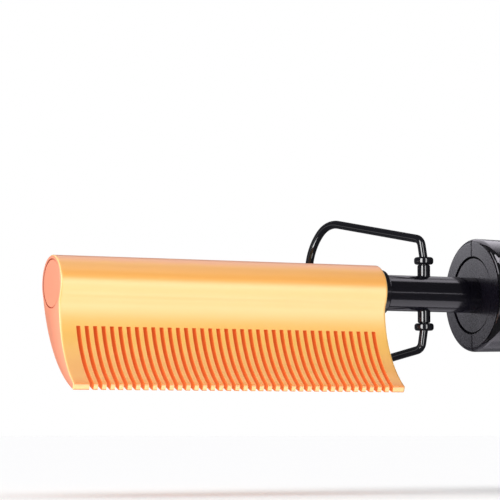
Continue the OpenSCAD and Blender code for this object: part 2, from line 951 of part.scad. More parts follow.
module minus_plunger() {
    color("black")
        plunger(minus_s);
}

module power_button() {
    color([0.14, 0.14, 0.15])
        button(power_s);
}

module power_plunger() {
    color("black")
        plunger(power_s);
}

// Box on the board's rear face, from its two corners in station and Z
module on_board(low, high, height) {
    block([handle_front_x + low[0], -board_rear_y, low[1]],
          [handle_front_x + high[0], height - board_rear_y, high[1]]);
}

module heater_terminal() {
    color("mediumseagreen")
        on_board([terminal_s, -5], [terminal_s + terminal_l, 5], board_rear_y + 4.5);
}

module film_capacitor() {
    color("goldenrod")
        on_board([39, 0.5 - board_half_w], [52, -2.5], 11);
}

module triac() {
    color([0.2, 0.2, 0.2])
        on_board([39, 0], [49, board_half_w - 0.5], 4.6);
}

module glass_fuse() {
    fuse_r = 1.8;
    color("lightblue")
        x_cylinder(handle_front_x + 54, handle_front_x + 60, fuse_r, fuse_r - board_rear_y, -6);
}

module supply_terminal() {
    color("mediumseagreen")
        on_board([supply_terminal_s[0], -1.5],
                 [supply_terminal_s[1], supply_lead_z[1] + supply_lead_r + 0.5], 6);
}

// ---- leads --------------------------------------------------------------

module heater_leads() {
    color("firebrick")
        for (i = [-0.5, 0.5])
            x_cylinder(probe_x0 + fuse_len + seat_gap, handle_front_x + terminal_s - seat_gap,
                       heater_lead_r, fuse_y + i * 1.9);
}

module sensor_leads() {
    color("ivory")
        for (i = [-0.5, 0.5])
            x_cylinder(probe_x0 + sensor_len + seat_gap, handle_front_x + terminal_s - seat_gap,
                       sensor_lead_r, sensor_y + i * 1.6);
}

module supply_leads() {
    color("saddlebrown")
        for (z = supply_lead_z)
            x_cylinder(handle_front_x + supply_terminal_s[1] + seat_gap, holder_x0 - seat_gap,
                       supply_lead_r, -supply_lead_y, z);
}

// ---- tail ---------------------------------------------------------------

// Round body that narrows to its lip, with shallow grooves to grip it by
module cord_swivel() {
    lip_r = cord_bore_r + 2;
    lip_round = 0.8;
    shoulder_s = swivel_len - 3.2;
    grooves = 3;
    groove_pitch = (shoulder_s - 2.6) / grooves;
    cone = (swivel_body_r - lip_r) / (shoulder_s - lip_round);
    color([0.1, 0.1, 0.11])
        difference() {
            union() {
                rotate([0, -90, 0])
                    rotate_extrude()
                        polygon(concat(
                            [[0, 0]],
                            arc([lip_r - lip_round, lip_round], lip_round, -90, 0, edge_steps),
                            [for (i = [0:grooves - 1])
                                for (p = [[0, 0], [0.35, 0.6], [1.05, 0.6], [1.4, 0]])
                                    let (along = 2.6 + i * groove_pitch + p[0])
                                    [lip_r + cone * (along - lip_round) - p[1], along]],
                            [[swivel_body_r, shoulder_s], [swivel_body_r, swivel_len - face_gap],
                             [0, swivel_len - face_gap]]));
                x_cylinder(swivel_flange_x, handle_back_x + past + face_gap, swivel_neck_r);
                x_cylinder(swivel_flange_x, swivel_flange_x + swivel_flange_t, swivel_flange_r);
                x_cylinder(spindle_x0, swivel_flange_x + past, spindle_r);
            }
            x_cylinder(-cord_bore_len, past, cord_bore_r);
            x_cylinder(spindle_x0 - past, -cord_bore_len + past, lead_bore_r);
        }
}

module slip_rings() {
    color("gold")
        for (x = slip_ring_x)
            difference() {
                x_cylinder(x, x + slip_ring_w, slip_ring_r);
                x_cylinder(x - past, x + slip_ring_w + past, spindle_r + seat_gap);
            }
}

module brush_holder() {
    color("dimgrey")
        difference() {
            block([holder_x0, -holder_y0, -holder_half_w], [holder_x1, -holder_y1, holder_half_w]);
            for (x = slip_ring_x)
                block([x + brush_inset - brush_gap, -brush_seat_y, -brush_half_w - brush_gap],
                      [x + slip_ring_w - brush_inset + brush_gap, past - holder_y1,
                       brush_half_w + brush_gap]);
            for (z = [-holder_screw_z, holder_screw_z])
                y_cylinder(holder_mid_x, -holder_y0 - past, past - holder_y1, z,
                           small_screw_r + screw_hole_gap);
        }
}

module contact_brushes() {
    color("peru")
        for (x = slip_ring_x)
            block([x + brush_inset, -brush_seat_y, -brush_half_w],
                  [x + slip_ring_w - brush_inset, -slip_ring_r - running_gap, brush_half_w]);
}

module holder_screws() {
    color("silver")
        for (z = [-holder_screw_z, holder_screw_z])
            y_screw(holder_mid_x, z, -holder_y1, holder_y0 - holder_y1 + holder_screw_bite, 1, small_screw_r);
}

comb_head();
head_end_cap();
heater_element();
upper_heat_spreader();
lower_heat_spreader();
temperature_sensor();
thermal_fuse();
neck_collar();
collar_grub_screw();
neck_tube();
pivot_sleeves();
wire_stand();
stand_collars();
neck_flange();
tube_clamp();
clamp_screws();
handle_front_shell();
handle_back_shell();
shell_screws();
tail_ring();
control_panel();
display_window();
display_module();
circuit_board();
board_screws();
switch_bodies();
plus_button();
plus_plunger();
minus_button();
minus_plunger();
power_button();
power_plunger();
heater_terminal();
film_capacitor();
triac();
glass_fuse();
supply_terminal();
heater_leads();
sensor_leads();
supply_leads();
cord_swivel();
slip_rings();
brush_holder();
contact_brushes();
holder_screws();
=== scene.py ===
"""Finely shaped pieces, materials and a small studio for the heated comb.

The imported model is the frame. The pieces that show most are worked out again here as smooth
surfaces, in the places that the frame gives, and every other node keeps its own shape and gets
its material. Lengths in the formulas are in millimetres, and the meshes are in metres.
X runs along the comb from its head to its tail, Z is up and the front is at negative Y.
"""

import json
import math

import bmesh
import bpy
import numpy as np
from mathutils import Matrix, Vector

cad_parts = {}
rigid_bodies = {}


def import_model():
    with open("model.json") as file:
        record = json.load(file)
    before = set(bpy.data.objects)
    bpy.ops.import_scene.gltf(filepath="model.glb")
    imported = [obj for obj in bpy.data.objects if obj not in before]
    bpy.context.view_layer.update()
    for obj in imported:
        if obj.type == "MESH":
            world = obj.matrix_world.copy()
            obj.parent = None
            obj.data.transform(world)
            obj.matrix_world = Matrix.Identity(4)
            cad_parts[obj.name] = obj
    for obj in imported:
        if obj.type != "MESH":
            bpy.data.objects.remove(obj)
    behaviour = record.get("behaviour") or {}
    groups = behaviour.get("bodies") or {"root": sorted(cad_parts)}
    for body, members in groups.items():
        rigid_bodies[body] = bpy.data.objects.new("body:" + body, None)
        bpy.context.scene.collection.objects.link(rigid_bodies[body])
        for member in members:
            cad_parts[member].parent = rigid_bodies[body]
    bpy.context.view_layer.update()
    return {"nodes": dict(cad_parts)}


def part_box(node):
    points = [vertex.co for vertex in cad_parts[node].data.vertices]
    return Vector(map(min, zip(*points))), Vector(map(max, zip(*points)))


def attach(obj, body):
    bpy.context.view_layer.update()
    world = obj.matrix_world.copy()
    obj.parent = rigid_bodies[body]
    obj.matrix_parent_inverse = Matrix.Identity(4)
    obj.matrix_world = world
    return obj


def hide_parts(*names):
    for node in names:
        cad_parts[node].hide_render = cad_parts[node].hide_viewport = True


bl_info = {
    "name": "Heated comb",
    "version": (1, 0, 0),
    "blender": (4, 5, 0),
    "location": "3D View > Sidebar > Heated comb",
    "description": "Makes the comb's smooth pieces, their materials and a studio to see them in",
    "category": "Object",
}

# The scene starts empty
for left_over in list(bpy.data.objects):
    bpy.data.objects.remove(left_over)

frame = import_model()

MM = 0.001


def node_box(node):
    """Lowest and highest corner of a node of the frame, in millimetres."""
    return [np.array(corner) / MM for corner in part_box(node)]


HEAD_LOW, HEAD_HIGH = node_box("comb_head")
COLLAR_LOW, COLLAR_HIGH = node_box("neck_collar")
SLEEVE_LOW, SLEEVE_HIGH = node_box("pivot_sleeves")
BEAD_LOW, BEAD_HIGH = node_box("stand_collars")
CAP_LOW, CAP_HIGH = node_box("head_end_cap")
TUBE_LOW, TUBE_HIGH = node_box("neck_tube")
PIVOT_X = (SLEEVE_LOW[0] + SLEEVE_HIGH[0]) / 2

# Looking along the comb as (y, z): the centre and radius of the crescent blade's rear face and
# of its front face, the angle of its cut end seen from the rear face's centre, the radius of
# the head's bore and the radii of the tips' two corners
REAR_CENTRE = np.array([-32.638, 7.94])
REAR_R = 41.75
FRONT_CENTRE = np.array([-36.41, -5.2])
FRONT_R = 29.7
BLADE_END = -70.5
BORE_R = 7.1
TIP_FRONT_R, TIP_REAR_R = 0.5, 0.4
# What a piece keeps clear of the piece that it fits over, and how much fuller in radius the
# sleeves and the stand's collars are than the frame's
CLEARANCE, FULLER = 0.02, 0.1


# ---- sizes and colours -----------------------------------------


def length(name, description, millimetres):
    """A property for a length, shown in the scene's unit."""
    return bpy.props.FloatProperty(
        name=name, description=description, default=millimetres * MM, min=0.0,
        precision=5, subtype="DISTANCE", unit="LENGTH")


def angle(name, description, degrees):
    """A property for an angle, shown in degrees."""
    return bpy.props.FloatProperty(
        name=name, description=description, default=math.radians(degrees),
        subtype="ANGLE", unit="ROTATION")


def colour(name, description, linear):
    """A property for a colour, in linear light."""
    return bpy.props.FloatVectorProperty(
        name=name, description=description, default=linear, size=3, min=0.0, max=1.0,
        subtype="COLOR")


def brightness(name, description):
    """A property for a plain factor, 1 unless the user changes it."""
    return bpy.props.FloatProperty(name=name, description=description, default=1.0, min=0.0)


class CombSizes(bpy.types.PropertyGroup):
    """Sizes of the comb head that this script may change."""

    teeth: bpy.props.IntProperty(
        name="Teeth", description="Number of free teeth", default=37, min=2)
    pitch: length("Tooth pitch", "Distance from one tooth to the next", 2.6)
    slot: length("Slot width", "Width of the slot between two teeth", 1.28)
    strip: length("Free strip", "Solid strip between the end face and the first slot", 4.96)
    root: length("Slot root", "Depth of the slots' closed ends below the main axis", 12.6)
    crease: length("Crease radius", "Radius between the round back and the blade's front", 5.0)
    chamfer: length("Chamfer", "Chamfer round the head's two end faces", 0.28)
    edge: length("Edge", "Width of the small bevel on the teeth's edges", 0.12)


class StandSizes(bpy.types.PropertyGroup):
    """Sizes of the wire stand and of the sleeves that it turns in."""

    wire: length("Wire radius", "Radius of the stand's wire", 1.31)
    reach: length("Reach", "Distance from the pivot to the far bar", 50.35)
    half_height: length("Half height", "Half height of the arms, measured at the pivot", 17.02)
    spread: angle("Spread", "Angle at which the two arms spread", 11)
    near_bend: length("Near bend", "Radius of the bend next to each leg", 2.7)
    lean: angle("Lean", "Lean of the legs between their collars and the near bends", 10.5)
    far_bend: length("Far bend", "Radius of the far corners next to the arms", 9)
    bow: length("Bow", "Radius of the far corners next to the bar", 18)
    bow_turn: angle("Bow turn", "Angle that the bow takes of each far corner", 45)
    swing: angle("Swing", "Angle between the comb head and the stand", 70)
    sleeve_foot: length("Sleeve foot", "Radius of the sleeves' small foot on the tube", 2.2)


class Colours(bpy.types.PropertyGroup):
    """Colours of the finishes that show most."""

    # Gold, orange, salmon and tips also paint the lamps' reflection on the head in bands by height
    gold: colour("Gold", "Middle of the comb head", (0.93, 0.52, 0.105))
    orange: colour("Orange", "Round back and teeth of the comb head", (0.93, 0.41, 0.075))
    salmon: colour("Salmon", "End face and top line of the comb head", (0.95, 0.34, 0.2))
    tips: colour("Tips", "Lower ends of the teeth", (0.93, 0.27, 0.035))
    # The slots' red is painted shade between the teeth, and it also feeds their painted glow
    slots: colour("Slots", "Walls of the slots between the teeth", (0.75, 0.2, 0.042))
    lacquer: colour("Lacquer", "Black lacquer of the wire stand", (0.003, 0.003, 0.004))
    tube: colour("Tube", "Black finish of the neck tube", (0.006, 0.0055, 0.009))
    shell: colour("Shell", "Plastic of the handle", (0.0075, 0.0065, 0.0115))


class StudioSettings(bpy.types.PropertyGroup):
    """Floor and light of the studio."""

    floor_depth: length("Floor depth", "Height of the main axis above the floor", 62)
    floor: colour("Floor", "Colour of the floor", (0.93, 0.93, 0.93))
    fill: brightness("Fill", "Brightness of the room that the comb reflects")
    power: brightness("Light", "Brightness of the lights")


class HeatedComb(bpy.types.PropertyGroup):
    """All settings of the heated comb."""

    comb: bpy.props.PointerProperty(type=CombSizes)
    stand: bpy.props.PointerProperty(type=StandSizes)
    colours: bpy.props.PointerProperty(type=Colours)
    studio: bpy.props.PointerProperty(type=StudioSettings)


# ---- surfaces --------------------------------------------------


def direction(degrees):
    """The unit vector at an angle: (cos, sin)."""
    return np.array([math.cos(math.radians(degrees)), math.sin(math.radians(degrees))])


def unit(vectors):
    """Vectors divided by their lengths."""
    return vectors / np.linalg.norm(vectors, axis=-1, keepdims=True)


def arc(centre, radius, start, stop, count):
    """Points of a circle: centre + radius * (cos, sin) of evenly spaced angles in degrees."""
    turn = np.radians(np.linspace(start, stop, count))
    return centre + radius * np.stack([np.cos(turn), np.sin(turn)], axis=1)


def quads(rows, columns, close_rows, close_columns):
    """Vertex numbers of the quads between neighbours of a grid, which may close on itself."""
    i = np.arange(rows if close_rows else rows - 1)[:, None]
    j = np.arange(columns if close_columns else columns - 1)[None, :]
    below, right = (i + 1) % rows, (j + 1) % columns
    corners = [i * columns + j, i * columns + right, below * columns + right, below * columns + j]
    return np.stack(corners, axis=-1).reshape(-1, 4)


def in_scene(name, data):
    """A new object with this mesh, lamp or camera, linked to the open scene."""
    made = bpy.data.objects.new(name, data)
    bpy.context.scene.collection.objects.link(made)
    return made


class Shape:
    """Surfaces gathered into one mesh; each is a grid of points with a material's number."""

    def __init__(self):
        self.points, self.faces, self.slots, self.count = [], [], [], 0

    def grid(self, points, slot=0, close_rows=False, close_columns=False):
        """Adds a grid of points, an array of rows by columns by three."""
        rows, columns = points.shape[:2]
        faces = quads(rows, columns, close_rows, close_columns) + self.count
        self.points.append(points.reshape(-1, 3))
        self.faces.append(faces)
        self.slots.append(np.full(len(faces), slot))
        self.count += rows * columns
        return self

    def piece(self, name, finishes, edge=0.0, sharp=35.0):
        """Makes the object: doubles merged, faces turned outwards, edges bevelled if asked."""
        mesh = bpy.data.meshes.new(name)
        mesh.from_pydata(
            (np.concatenate(self.points) * MM).tolist(), [], np.concatenate(self.faces).tolist())
        mesh.polygons.foreach_set("material_index", np.concatenate(self.slots).astype(np.int32))
        shell = bmesh.new()
        shell.from_mesh(mesh)
        bmesh.ops.remove_doubles(shell, verts=shell.verts, dist=2e-6)
        bmesh.ops.dissolve_degenerate(shell, edges=shell.edges, dist=1e-7)
        bmesh.ops.recalc_face_normals(shell, faces=shell.faces)
        shell.to_mesh(mesh)
        shell.free()
        for finish in finishes:
            mesh.materials.append(finish)
        mesh.shade_smooth()
        mesh.set_sharp_from_angle(angle=math.radians(sharp))
        made = in_scene(name, mesh)
        if edge:
            bevel = made.modifiers.new("edges", "BEVEL")
            bevel.width = edge * MM
            bevel.segments = 2
            bevel.limit_method = "ANGLE"
            bevel.angle_limit = math.radians(sharp)
            bevel.harden_normals = True
        return made


def turned(profile, centre, axis, count=96):
    """A surface of revolution: each (place along the axis, radius) of the profile goes round.

    A point is centre + place * axis + radius * (cos(turn) * first + sin(turn) * second), where
    first and second are the two directions square to the axis.
    """
    axis = np.asarray(axis, float)
    first = np.roll(np.abs(axis), 1)
    second = np.cross(axis, first)
    turn = np.linspace(0, 2 * math.pi, count, endpoint=False)[:, None]
    around = np.cos(turn) * first + np.sin(turn) * second
    return np.asarray(centre) + profile[:, None, :1] * axis + profile[:, None, 1:] * around


def rounded(corners, radii, steps=5):
    """A profile through the corners, each but the first and last replaced by an arc.

    The arc starts one radius before its corner and stops one radius after it. Its points are
    the means of start, corner and stop with the weights (1 - t)^2, sqrt(2) * t * (1 - t) and
    t^2, which is a quarter of a circle at a right angle.
    """
    corners = [np.asarray(corner, float) for corner in corners]
    t = np.linspace(0, 1, steps + 1)[:, None]
    first, middle, last = (1 - t) ** 2, math.sqrt(2) * t * (1 - t), t ** 2
    out = [corners[0]]
    for before, corner, after, radius in zip(
            corners, corners[1:], corners[2:], np.broadcast_to(radii, len(corners) - 2)):
        start = corner + radius * unit(before - corner)
        stop = corner + radius * unit(after - corner)
        out.extend((first * start + middle * corner + last * stop) / (first + middle + last))
    out.append(corners[-1])
    return np.array(out)


def pipe(path, normals, binormal, radii, count=24):
    """A round bar along a path: path + radius * (cos(turn) * normal + sin(turn) * binormal)."""
    turn = np.linspace(0, 2 * math.pi, count, endpoint=False)[:, None]
    ring = np.cos(turn) * normals[:, None] + np.sin(turn) * binormal
    return path[:, None] + radii[:, None, None] * ring


# ---- materials -------------------------------------------------


class Link:
    """An output of a node. Arithmetic on it adds Math nodes and gives another Link."""

    def __init__(self, finish, socket):
        self.finish, self.socket = finish, socket

    def _math(self, operation, first, second):
        return self.finish.node("ShaderNodeMath", {"operation": operation}, {0: first, 1: second})

    def __add__(self, other):
        return self._math("ADD", self, other)

    def __sub__(self, other):
        return self._math("SUBTRACT", self, other)

    def __rsub__(self, other):
        return self._math("SUBTRACT", other, self)

    def __mul__(self, other):
        return self._math("MULTIPLY", self, other)

    def __truediv__(self, other):
        return self._math("DIVIDE", self, other)

    def __rtruediv__(self, other):
        return self._math("DIVIDE", other, self)

    __radd__, __rmul__ = __add__, __mul__


class Nodes:
    """A node tree under construction."""

    def __init__(self, holder):
        holder.use_nodes = True
        self.tree = holder.node_tree
        self.tree.nodes.clear()

    def node(self, kind, options=None, values=None, output=0):
        """Adds a node: its options first, then the values or links of its sockets."""
        made = self.tree.nodes.new(kind)
        for name, value in (options or {}).items():
            if name == "stops":
                ramp = made.color_ramp
                while len(ramp.elements) < len(value):
                    ramp.elements.new(1.0)
                for element, (position, hue) in zip(ramp.elements, value):
                    element.position = position
                    element.color = (*hue, 1.0)
            elif name == "smooth":
                made.color_ramp.interpolation = value
            else:
                setattr(made, name, value)
        for name, value in (values or {}).items():
            self.feed(made.inputs[name], value)
        return None if output is None else Link(self, made.outputs[output])

    def feed(self, socket, value):
        """Links a value's socket to this one, or sets this one to the value."""
        if isinstance(value, Link):
            self.tree.links.new(value.socket, socket)
        else:
            socket.default_value = value

    def step(self, value, start, stop):
        """Runs smoothly from 0 to 1 as value goes from start to stop."""
        return self.node("ShaderNodeMapRange", {"interpolation_type": "SMOOTHSTEP"}, {
            "Value": value, "From Min": start, "From Max": stop})


class Finish(Nodes):
    """One material under construction: its nodes, its shader and its object coordinates."""

    def __init__(self, name, **constants):
        self.material = bpy.data.materials.new(name)
        super().__init__(self.material)
        self.shader = self.tree.nodes.new("ShaderNodeBsdfPrincipled")
        self.node("ShaderNodeOutputMaterial", None, {0: Link(self, self.shader.outputs[0])}, None)
        self.set(**constants)
        self.place = self.node("ShaderNodeTexCoord", output="Object")

    def set(self, **values):
        """Feeds the shader's own sockets."""
        for name, value in values.items():
            self.feed(self.shader.inputs[name.replace("_", " ")], value)

    def stretched(self, x, y, z):
        """Object coordinates in millimetres, divided by the size of the pattern along each axis."""
        return self.node("ShaderNodeMapping", None, {
            "Vector": self.place, "Scale": (1 / (x * MM), 1 / (y * MM), 1 / (z * MM))})

    def noise(self, x, y=None, z=None, detail=3.0, rough=0.5):
        """Smooth noise from 0 to 1 whose patches are x by y by z millimetres, or x each way."""
        return self.node("ShaderNodeTexNoise", None, {
            "Vector": self.stretched(x, y or x, z or x), "Scale": 1.0, "Detail": detail,
            "Roughness": rough})

    def height(self):
        """Height above the main axis, in millimetres."""
        return self.node("ShaderNodeSeparateXYZ", None, {0: self.place}, "Z") / MM

    def mix(self, amount, first, second):
        """The colour that lies between first and second by the amount."""
        made = self.tree.nodes.new("ShaderNodeMix")
        made.data_type = "RGBA"
        for socket, value in ((0, amount), (6, first), (7, second)):
            if isinstance(value, tuple):
                value = (*value, 1.0)
            self.feed(made.inputs[socket], value)
        return Link(self, made.outputs[2])

    def shades(self, amount, value, low, high):
        """Between a colour times low and the same times high, by the amount."""
        return self.mix(amount, tint(value, low), tint(value, high))

    def finished(self, colour, roughness, relief, depth, strength):
        """Feeds the base colour, the roughness and the relief, and gives the material.

        The relief is depth millimetres high where its pattern is 1.
        """
        bump = self.node("ShaderNodeBump", None, {
            "Height": relief, "Distance": depth * MM, "Strength": strength})
        self.set(Base_Color=colour, Roughness=roughness, Normal=bump)
        return self.material


def tint(value, factor):
    """A colour made lighter or darker by a factor."""
    return tuple(min(1.0, channel * factor) for channel in value)


def comb_skin(colours):
    """Satin metal of the head, with fine lines along it.

    The colour follows the height: the tips' orange red, orange, the wide gold band, orange
    again and the salmon top line. These bands are painted reflection over the anodised colour:
    gold where the round head faces the front lamps, orange and salmon where it turns away.
    The lines and a faint cloud make it uneven.
    """
    skin = Finish("comb_satin_gold", IOR=1.8, Specular_IOR_Level=1.0)
    gold, orange, salmon, tips = (tuple(c) for c in (
        colours.gold, colours.orange, colours.salmon, colours.tips))
    along = skin.noise(26, 0.16, 0.16, detail=4, rough=0.65)
    cloud = skin.noise(9, 5, 5)
    level = ((skin.height() - HEAD_LOW[2]) / (HEAD_HIGH[2] - HEAD_LOW[2])
             + (cloud - 0.5) * 0.03)
    # Painted reflection: bands of colour by height stand for the lamps' bands on the round head
    bands = skin.node("ShaderNodeValToRGB", {"smooth": "EASE", "stops": [
        (0.03, tips), (0.11, orange), (0.40, gold), (0.78, gold), (0.86, orange),
        (0.93, orange), (0.99, salmon)]}, {0: level})
    return skin.finished(skin.mix((along - 0.5) * 0.30 + 0.15, bands, gold),
                         0.26 + along * 0.12 + (cloud - 0.5) * 0.06, along, 0.012, 0.6)


def comb_end(colours):
    """Sawn and anodised end of the head: salmon, with faint level lines from the saw."""
    face = Finish("comb_end_salmon", Metallic=0.15, Coat_Weight=0.2, Coat_Roughness=0.35)
    saw, cloud = face.noise(4, 3.5, 0.22), face.noise(6)
    salmon = face.shades(cloud * 0.5 + (saw - 0.5) * 0.4, colours.salmon, 0.96, 1.06)
    return face.finished(salmon, 0.42 + saw * 0.12, saw, 0.01, 0.5)


def painted_edge_highlight():
    """Chamfers and tips in pale metal colour: a painted highlight along the head's edges."""
    edge = Finish("comb_bare_edge", Specular_IOR_Level=0.6)
    highlight_patches = edge.noise(1.2, 0.3, 0.3, detail=4)
    # Painted highlight: the pale colours stand for light caught by the edges, patchy by a noise
    pale = edge.mix(highlight_patches, (0.92, 0.54, 0.18), (0.97, 0.69, 0.34))
    return edge.finished(pale, 0.25 + highlight_patches * 0.15, highlight_patches, 0.008, 0.4)


def slot_walls(colours):
    """Milled walls of the slots: red orange painted shade, a little lighter at the tips.

    A painted glow of the same colour stands for the light bouncing between the teeth.
    """
    # Painted glow: the walls emit their own red though they are no lamp
    wall = Finish("slot_walls_red", Emission_Strength=0.2)
    mill = wall.noise(3, 0.5, 0.12)
    tips, roots = -30.0, -settings().comb.root / MM
    # Painted shade: the red darkens from the tips into the slots towards their roots
    deep = wall.step(wall.height(), tips, roots)
    red = wall.shades(deep * 0.85 + (mill - 0.5) * 0.3, colours.slots, 1.1, 1.0)
    wall.set(Emission_Color=red)
    return wall.finished(red, 0.45 + mill * 0.15, mill, 0.01, 0.5)


def lacquer(name, value, roughness=0.05, coat=0.0):
    """Gloss lacquer with a faint orange peel and a few duller patches."""
    gloss = Finish(name, Coat_Weight=coat, Coat_Roughness=0.03)
    peel, dull = gloss.noise(0.55, detail=2), gloss.noise(6)
    return gloss.finished(gloss.shades(dull, value, 0.8, 1.3),
                          roughness + gloss.step(dull, 0.5, 0.75) * 0.10, peel, 0.012, 0.5)


def moulded(name, value, roughness=0.4, grain=0.35, depth=0.012, coat=0.0):
    """Moulded plastic: fine spark-eroded grain, faint flow clouds and small scuffs."""
    plastic = Finish(name, Coat_Weight=coat, Coat_Roughness=0.15)
    fine, cloud = plastic.noise(grain, rough=0.6), plastic.noise(14, detail=2)
    scuff = plastic.step(plastic.noise(5, 0.6, 0.6, detail=4), 0.62, 0.78)
    return plastic.finished(plastic.shades(cloud * 0.7 + fine * 0.3, value, 0.85, 1.18),
                            roughness + (fine - 0.5) * 0.12 + scuff * 0.08, fine, depth, 0.7)


def drawn_metal(name, value, roughness, along):
    """Rolled, drawn or turned metal, with its lines along the longest of the three sizes."""
    metal = Finish(name, Metallic=1.0)
    lines, cloud = metal.noise(*along, detail=4, rough=0.6), metal.noise(5)
    return metal.finished(metal.shades(lines * 0.6 + cloud * 0.4, value, 0.82, 1.08),
                          roughness + lines * 0.14 + (cloud - 0.5) * 0.1, lines, 0.01, 0.6)


def tube_finish(value):
    """Gloss black tube with faint drawing lines along it."""
    tube = Finish("neck_gloss_black", Coat_Weight=0.25, Coat_Roughness=0.05)
    lines, dull = tube.noise(30, 0.25, 0.25), tube.noise(7)
    return tube.finished(tube.shades(dull, value, 0.85, 1.2),
                         0.13 + lines * 0.05 + tube.step(dull, 0.5, 0.8) * 0.08,
                         lines, 0.004, 0.4)


def smoked_glass(name, value, clear):
    """Smoked clear plastic: mostly seen through, glossy, with faint wiping marks."""
    glass = Finish(name, Transmission_Weight=clear, IOR=1.49)
    wiped = glass.noise(6, 0.8, 0.8)
    return glass.finished(glass.shades(wiped, value, 0.95, 1.05),
                          0.02 + glass.step(wiped, 0.55, 0.8) * 0.05, glass.noise(8), 0.004, 0.2)


def circuit_board_finish(name, value):
    """Solder resist over copper tracks: slightly lighter bands with square turns."""
    board = Finish(name, Coat_Weight=0.3, Coat_Roughness=0.12)
    tracks = board.node("ShaderNodeTexBrick", {"offset": 0.5, "squash": 0.7}, {
        "Vector": board.stretched(9, 9, 9), "Scale": 3.0, "Mortar Size": 0.06, "Bias": 0.0,
        "Color1": (0, 0, 0, 1), "Color2": (0.2, 0.2, 0.2, 1), "Mortar": (1, 1, 1, 1)})
    weave = board.noise(0.5, detail=2)
    return board.finished(board.shades(tracks * 0.6 + weave * 0.2, value, 1.0, 1.7),
                          0.32 + weave * 0.15, tracks, 0.03, 0.5)


# ---- operators -------------------------------------------------


def settings():
    """The heated comb's settings in the open scene."""
    return bpy.context.scene.heated_comb


def crossing(centre_a, radius_a, centre_b, radius_b):
    """Where two circles cross: along the line between the centres, then square to its left."""
    between = centre_b - centre_a
    far = np.linalg.norm(between)
    along = (radius_a ** 2 - radius_b ** 2 + far ** 2) / (2 * far)
    ahead = between / far
    left = np.array([-ahead[1], ahead[0]])
    return centre_a + along * ahead + math.sqrt(radius_a ** 2 - along ** 2) * left


def bearing(point, centre):
    """Angle in degrees of a point seen from a centre."""
    return math.degrees(math.atan2(point[1] - centre[1], point[0] - centre[0]))


def blade_ladder(inset=0.0, count=30):
    """Front and rear points of the blade, from the slots' roots to the tips.

    Both faces are circle arcs, looking along X, each sampled at even angles from the height of
    the root to the straight cut at the blade's end, where both corners are rounded. Inset moves
    all of it into the metal.
    """
    root_z = -settings().comb.root / MM
    front_r, rear_r = FRONT_R + inset, REAR_R - inset
    # The cut lies on a line from the rear face's centre, and reach is how far along that line
    # the front face's circle crosses it
    cut = direction(BLADE_END)
    gap = FRONT_CENTRE - REAR_CENTRE
    reach = cut @ gap + math.sqrt((cut @ gap) ** 2 - gap @ gap + front_r ** 2)
    front_end = bearing(REAR_CENTRE + reach * cut, FRONT_CENTRE)
    back_off = math.degrees(inset / rear_r)
    faces = []
    for centre, r, end in ((FRONT_CENTRE, front_r, front_end), (REAR_CENTRE, rear_r, BLADE_END)):
        start = math.degrees(math.asin((root_z - centre[1]) / r))
        faces.append(arc(centre, r, start, end + back_off, count))
    front, rear = faces
    tip = (front[-1] + rear[-1]) / 2
    for i, corner_r in enumerate((TIP_FRONT_R - inset, TIP_REAR_R - inset)):
        end = faces[i][-1]
        short = end - corner_r * unit(end - faces[i][-2])
        faces[i] = np.concatenate([faces[i][:-1], rounded([short, end, tip], corner_r)[1:-1]])
    return faces


def head_back_outline(inset=0.0):
    """Outline of the head above the slots' roots, from the front over the back to the rear.

    It runs up the blade's front arc, round an arc of the crease radius that touches both the
    front arc and the back's circle, round the back, and down the blade's rear arc from where
    that crosses the circle. Inset moves all of it into the metal.
    """
    crease, back_r = settings().comb.crease / MM, HEAD_HIGH[2]
    front, rear = blade_ladder(inset)
    centre = crossing(np.zeros(2), back_r + crease, FRONT_CENTRE, FRONT_R - crease)
    on_front, on_back = bearing(centre, FRONT_CENTRE), bearing(centre, np.zeros(2)) % 360
    corner = crossing(np.zeros(2), back_r - inset, REAR_CENTRE, REAR_R - inset)
    return np.concatenate([
        arc(FRONT_CENTRE, FRONT_R + inset, bearing(front[0], FRONT_CENTRE), on_front, 10),
        arc(centre, crease + inset, on_front, on_back - 180, 8)[1:],
        arc(np.zeros(2), back_r - inset, on_back, bearing(corner, np.zeros(2)), 72)[1:],
        arc(REAR_CENTRE, REAR_R - inset, bearing(corner, REAR_CENTRE),
            bearing(rear[0], REAR_CENTRE), 14)[1:]])


def at(x, outline):
    """The points of an outline, looking along X, placed at x."""
    return np.insert(np.asarray(outline, float), 0, x, axis=1)


def extruded(outline, stations):
    """An outline carried along X through the stations."""
    return np.stack([at(x, outline) for x in stations])


def strip(first_x, first, second_x, second):
    """A strip from one outline to another with as many points, each placed at its x."""
    return np.stack([at(first_x, first), at(second_x, second)])


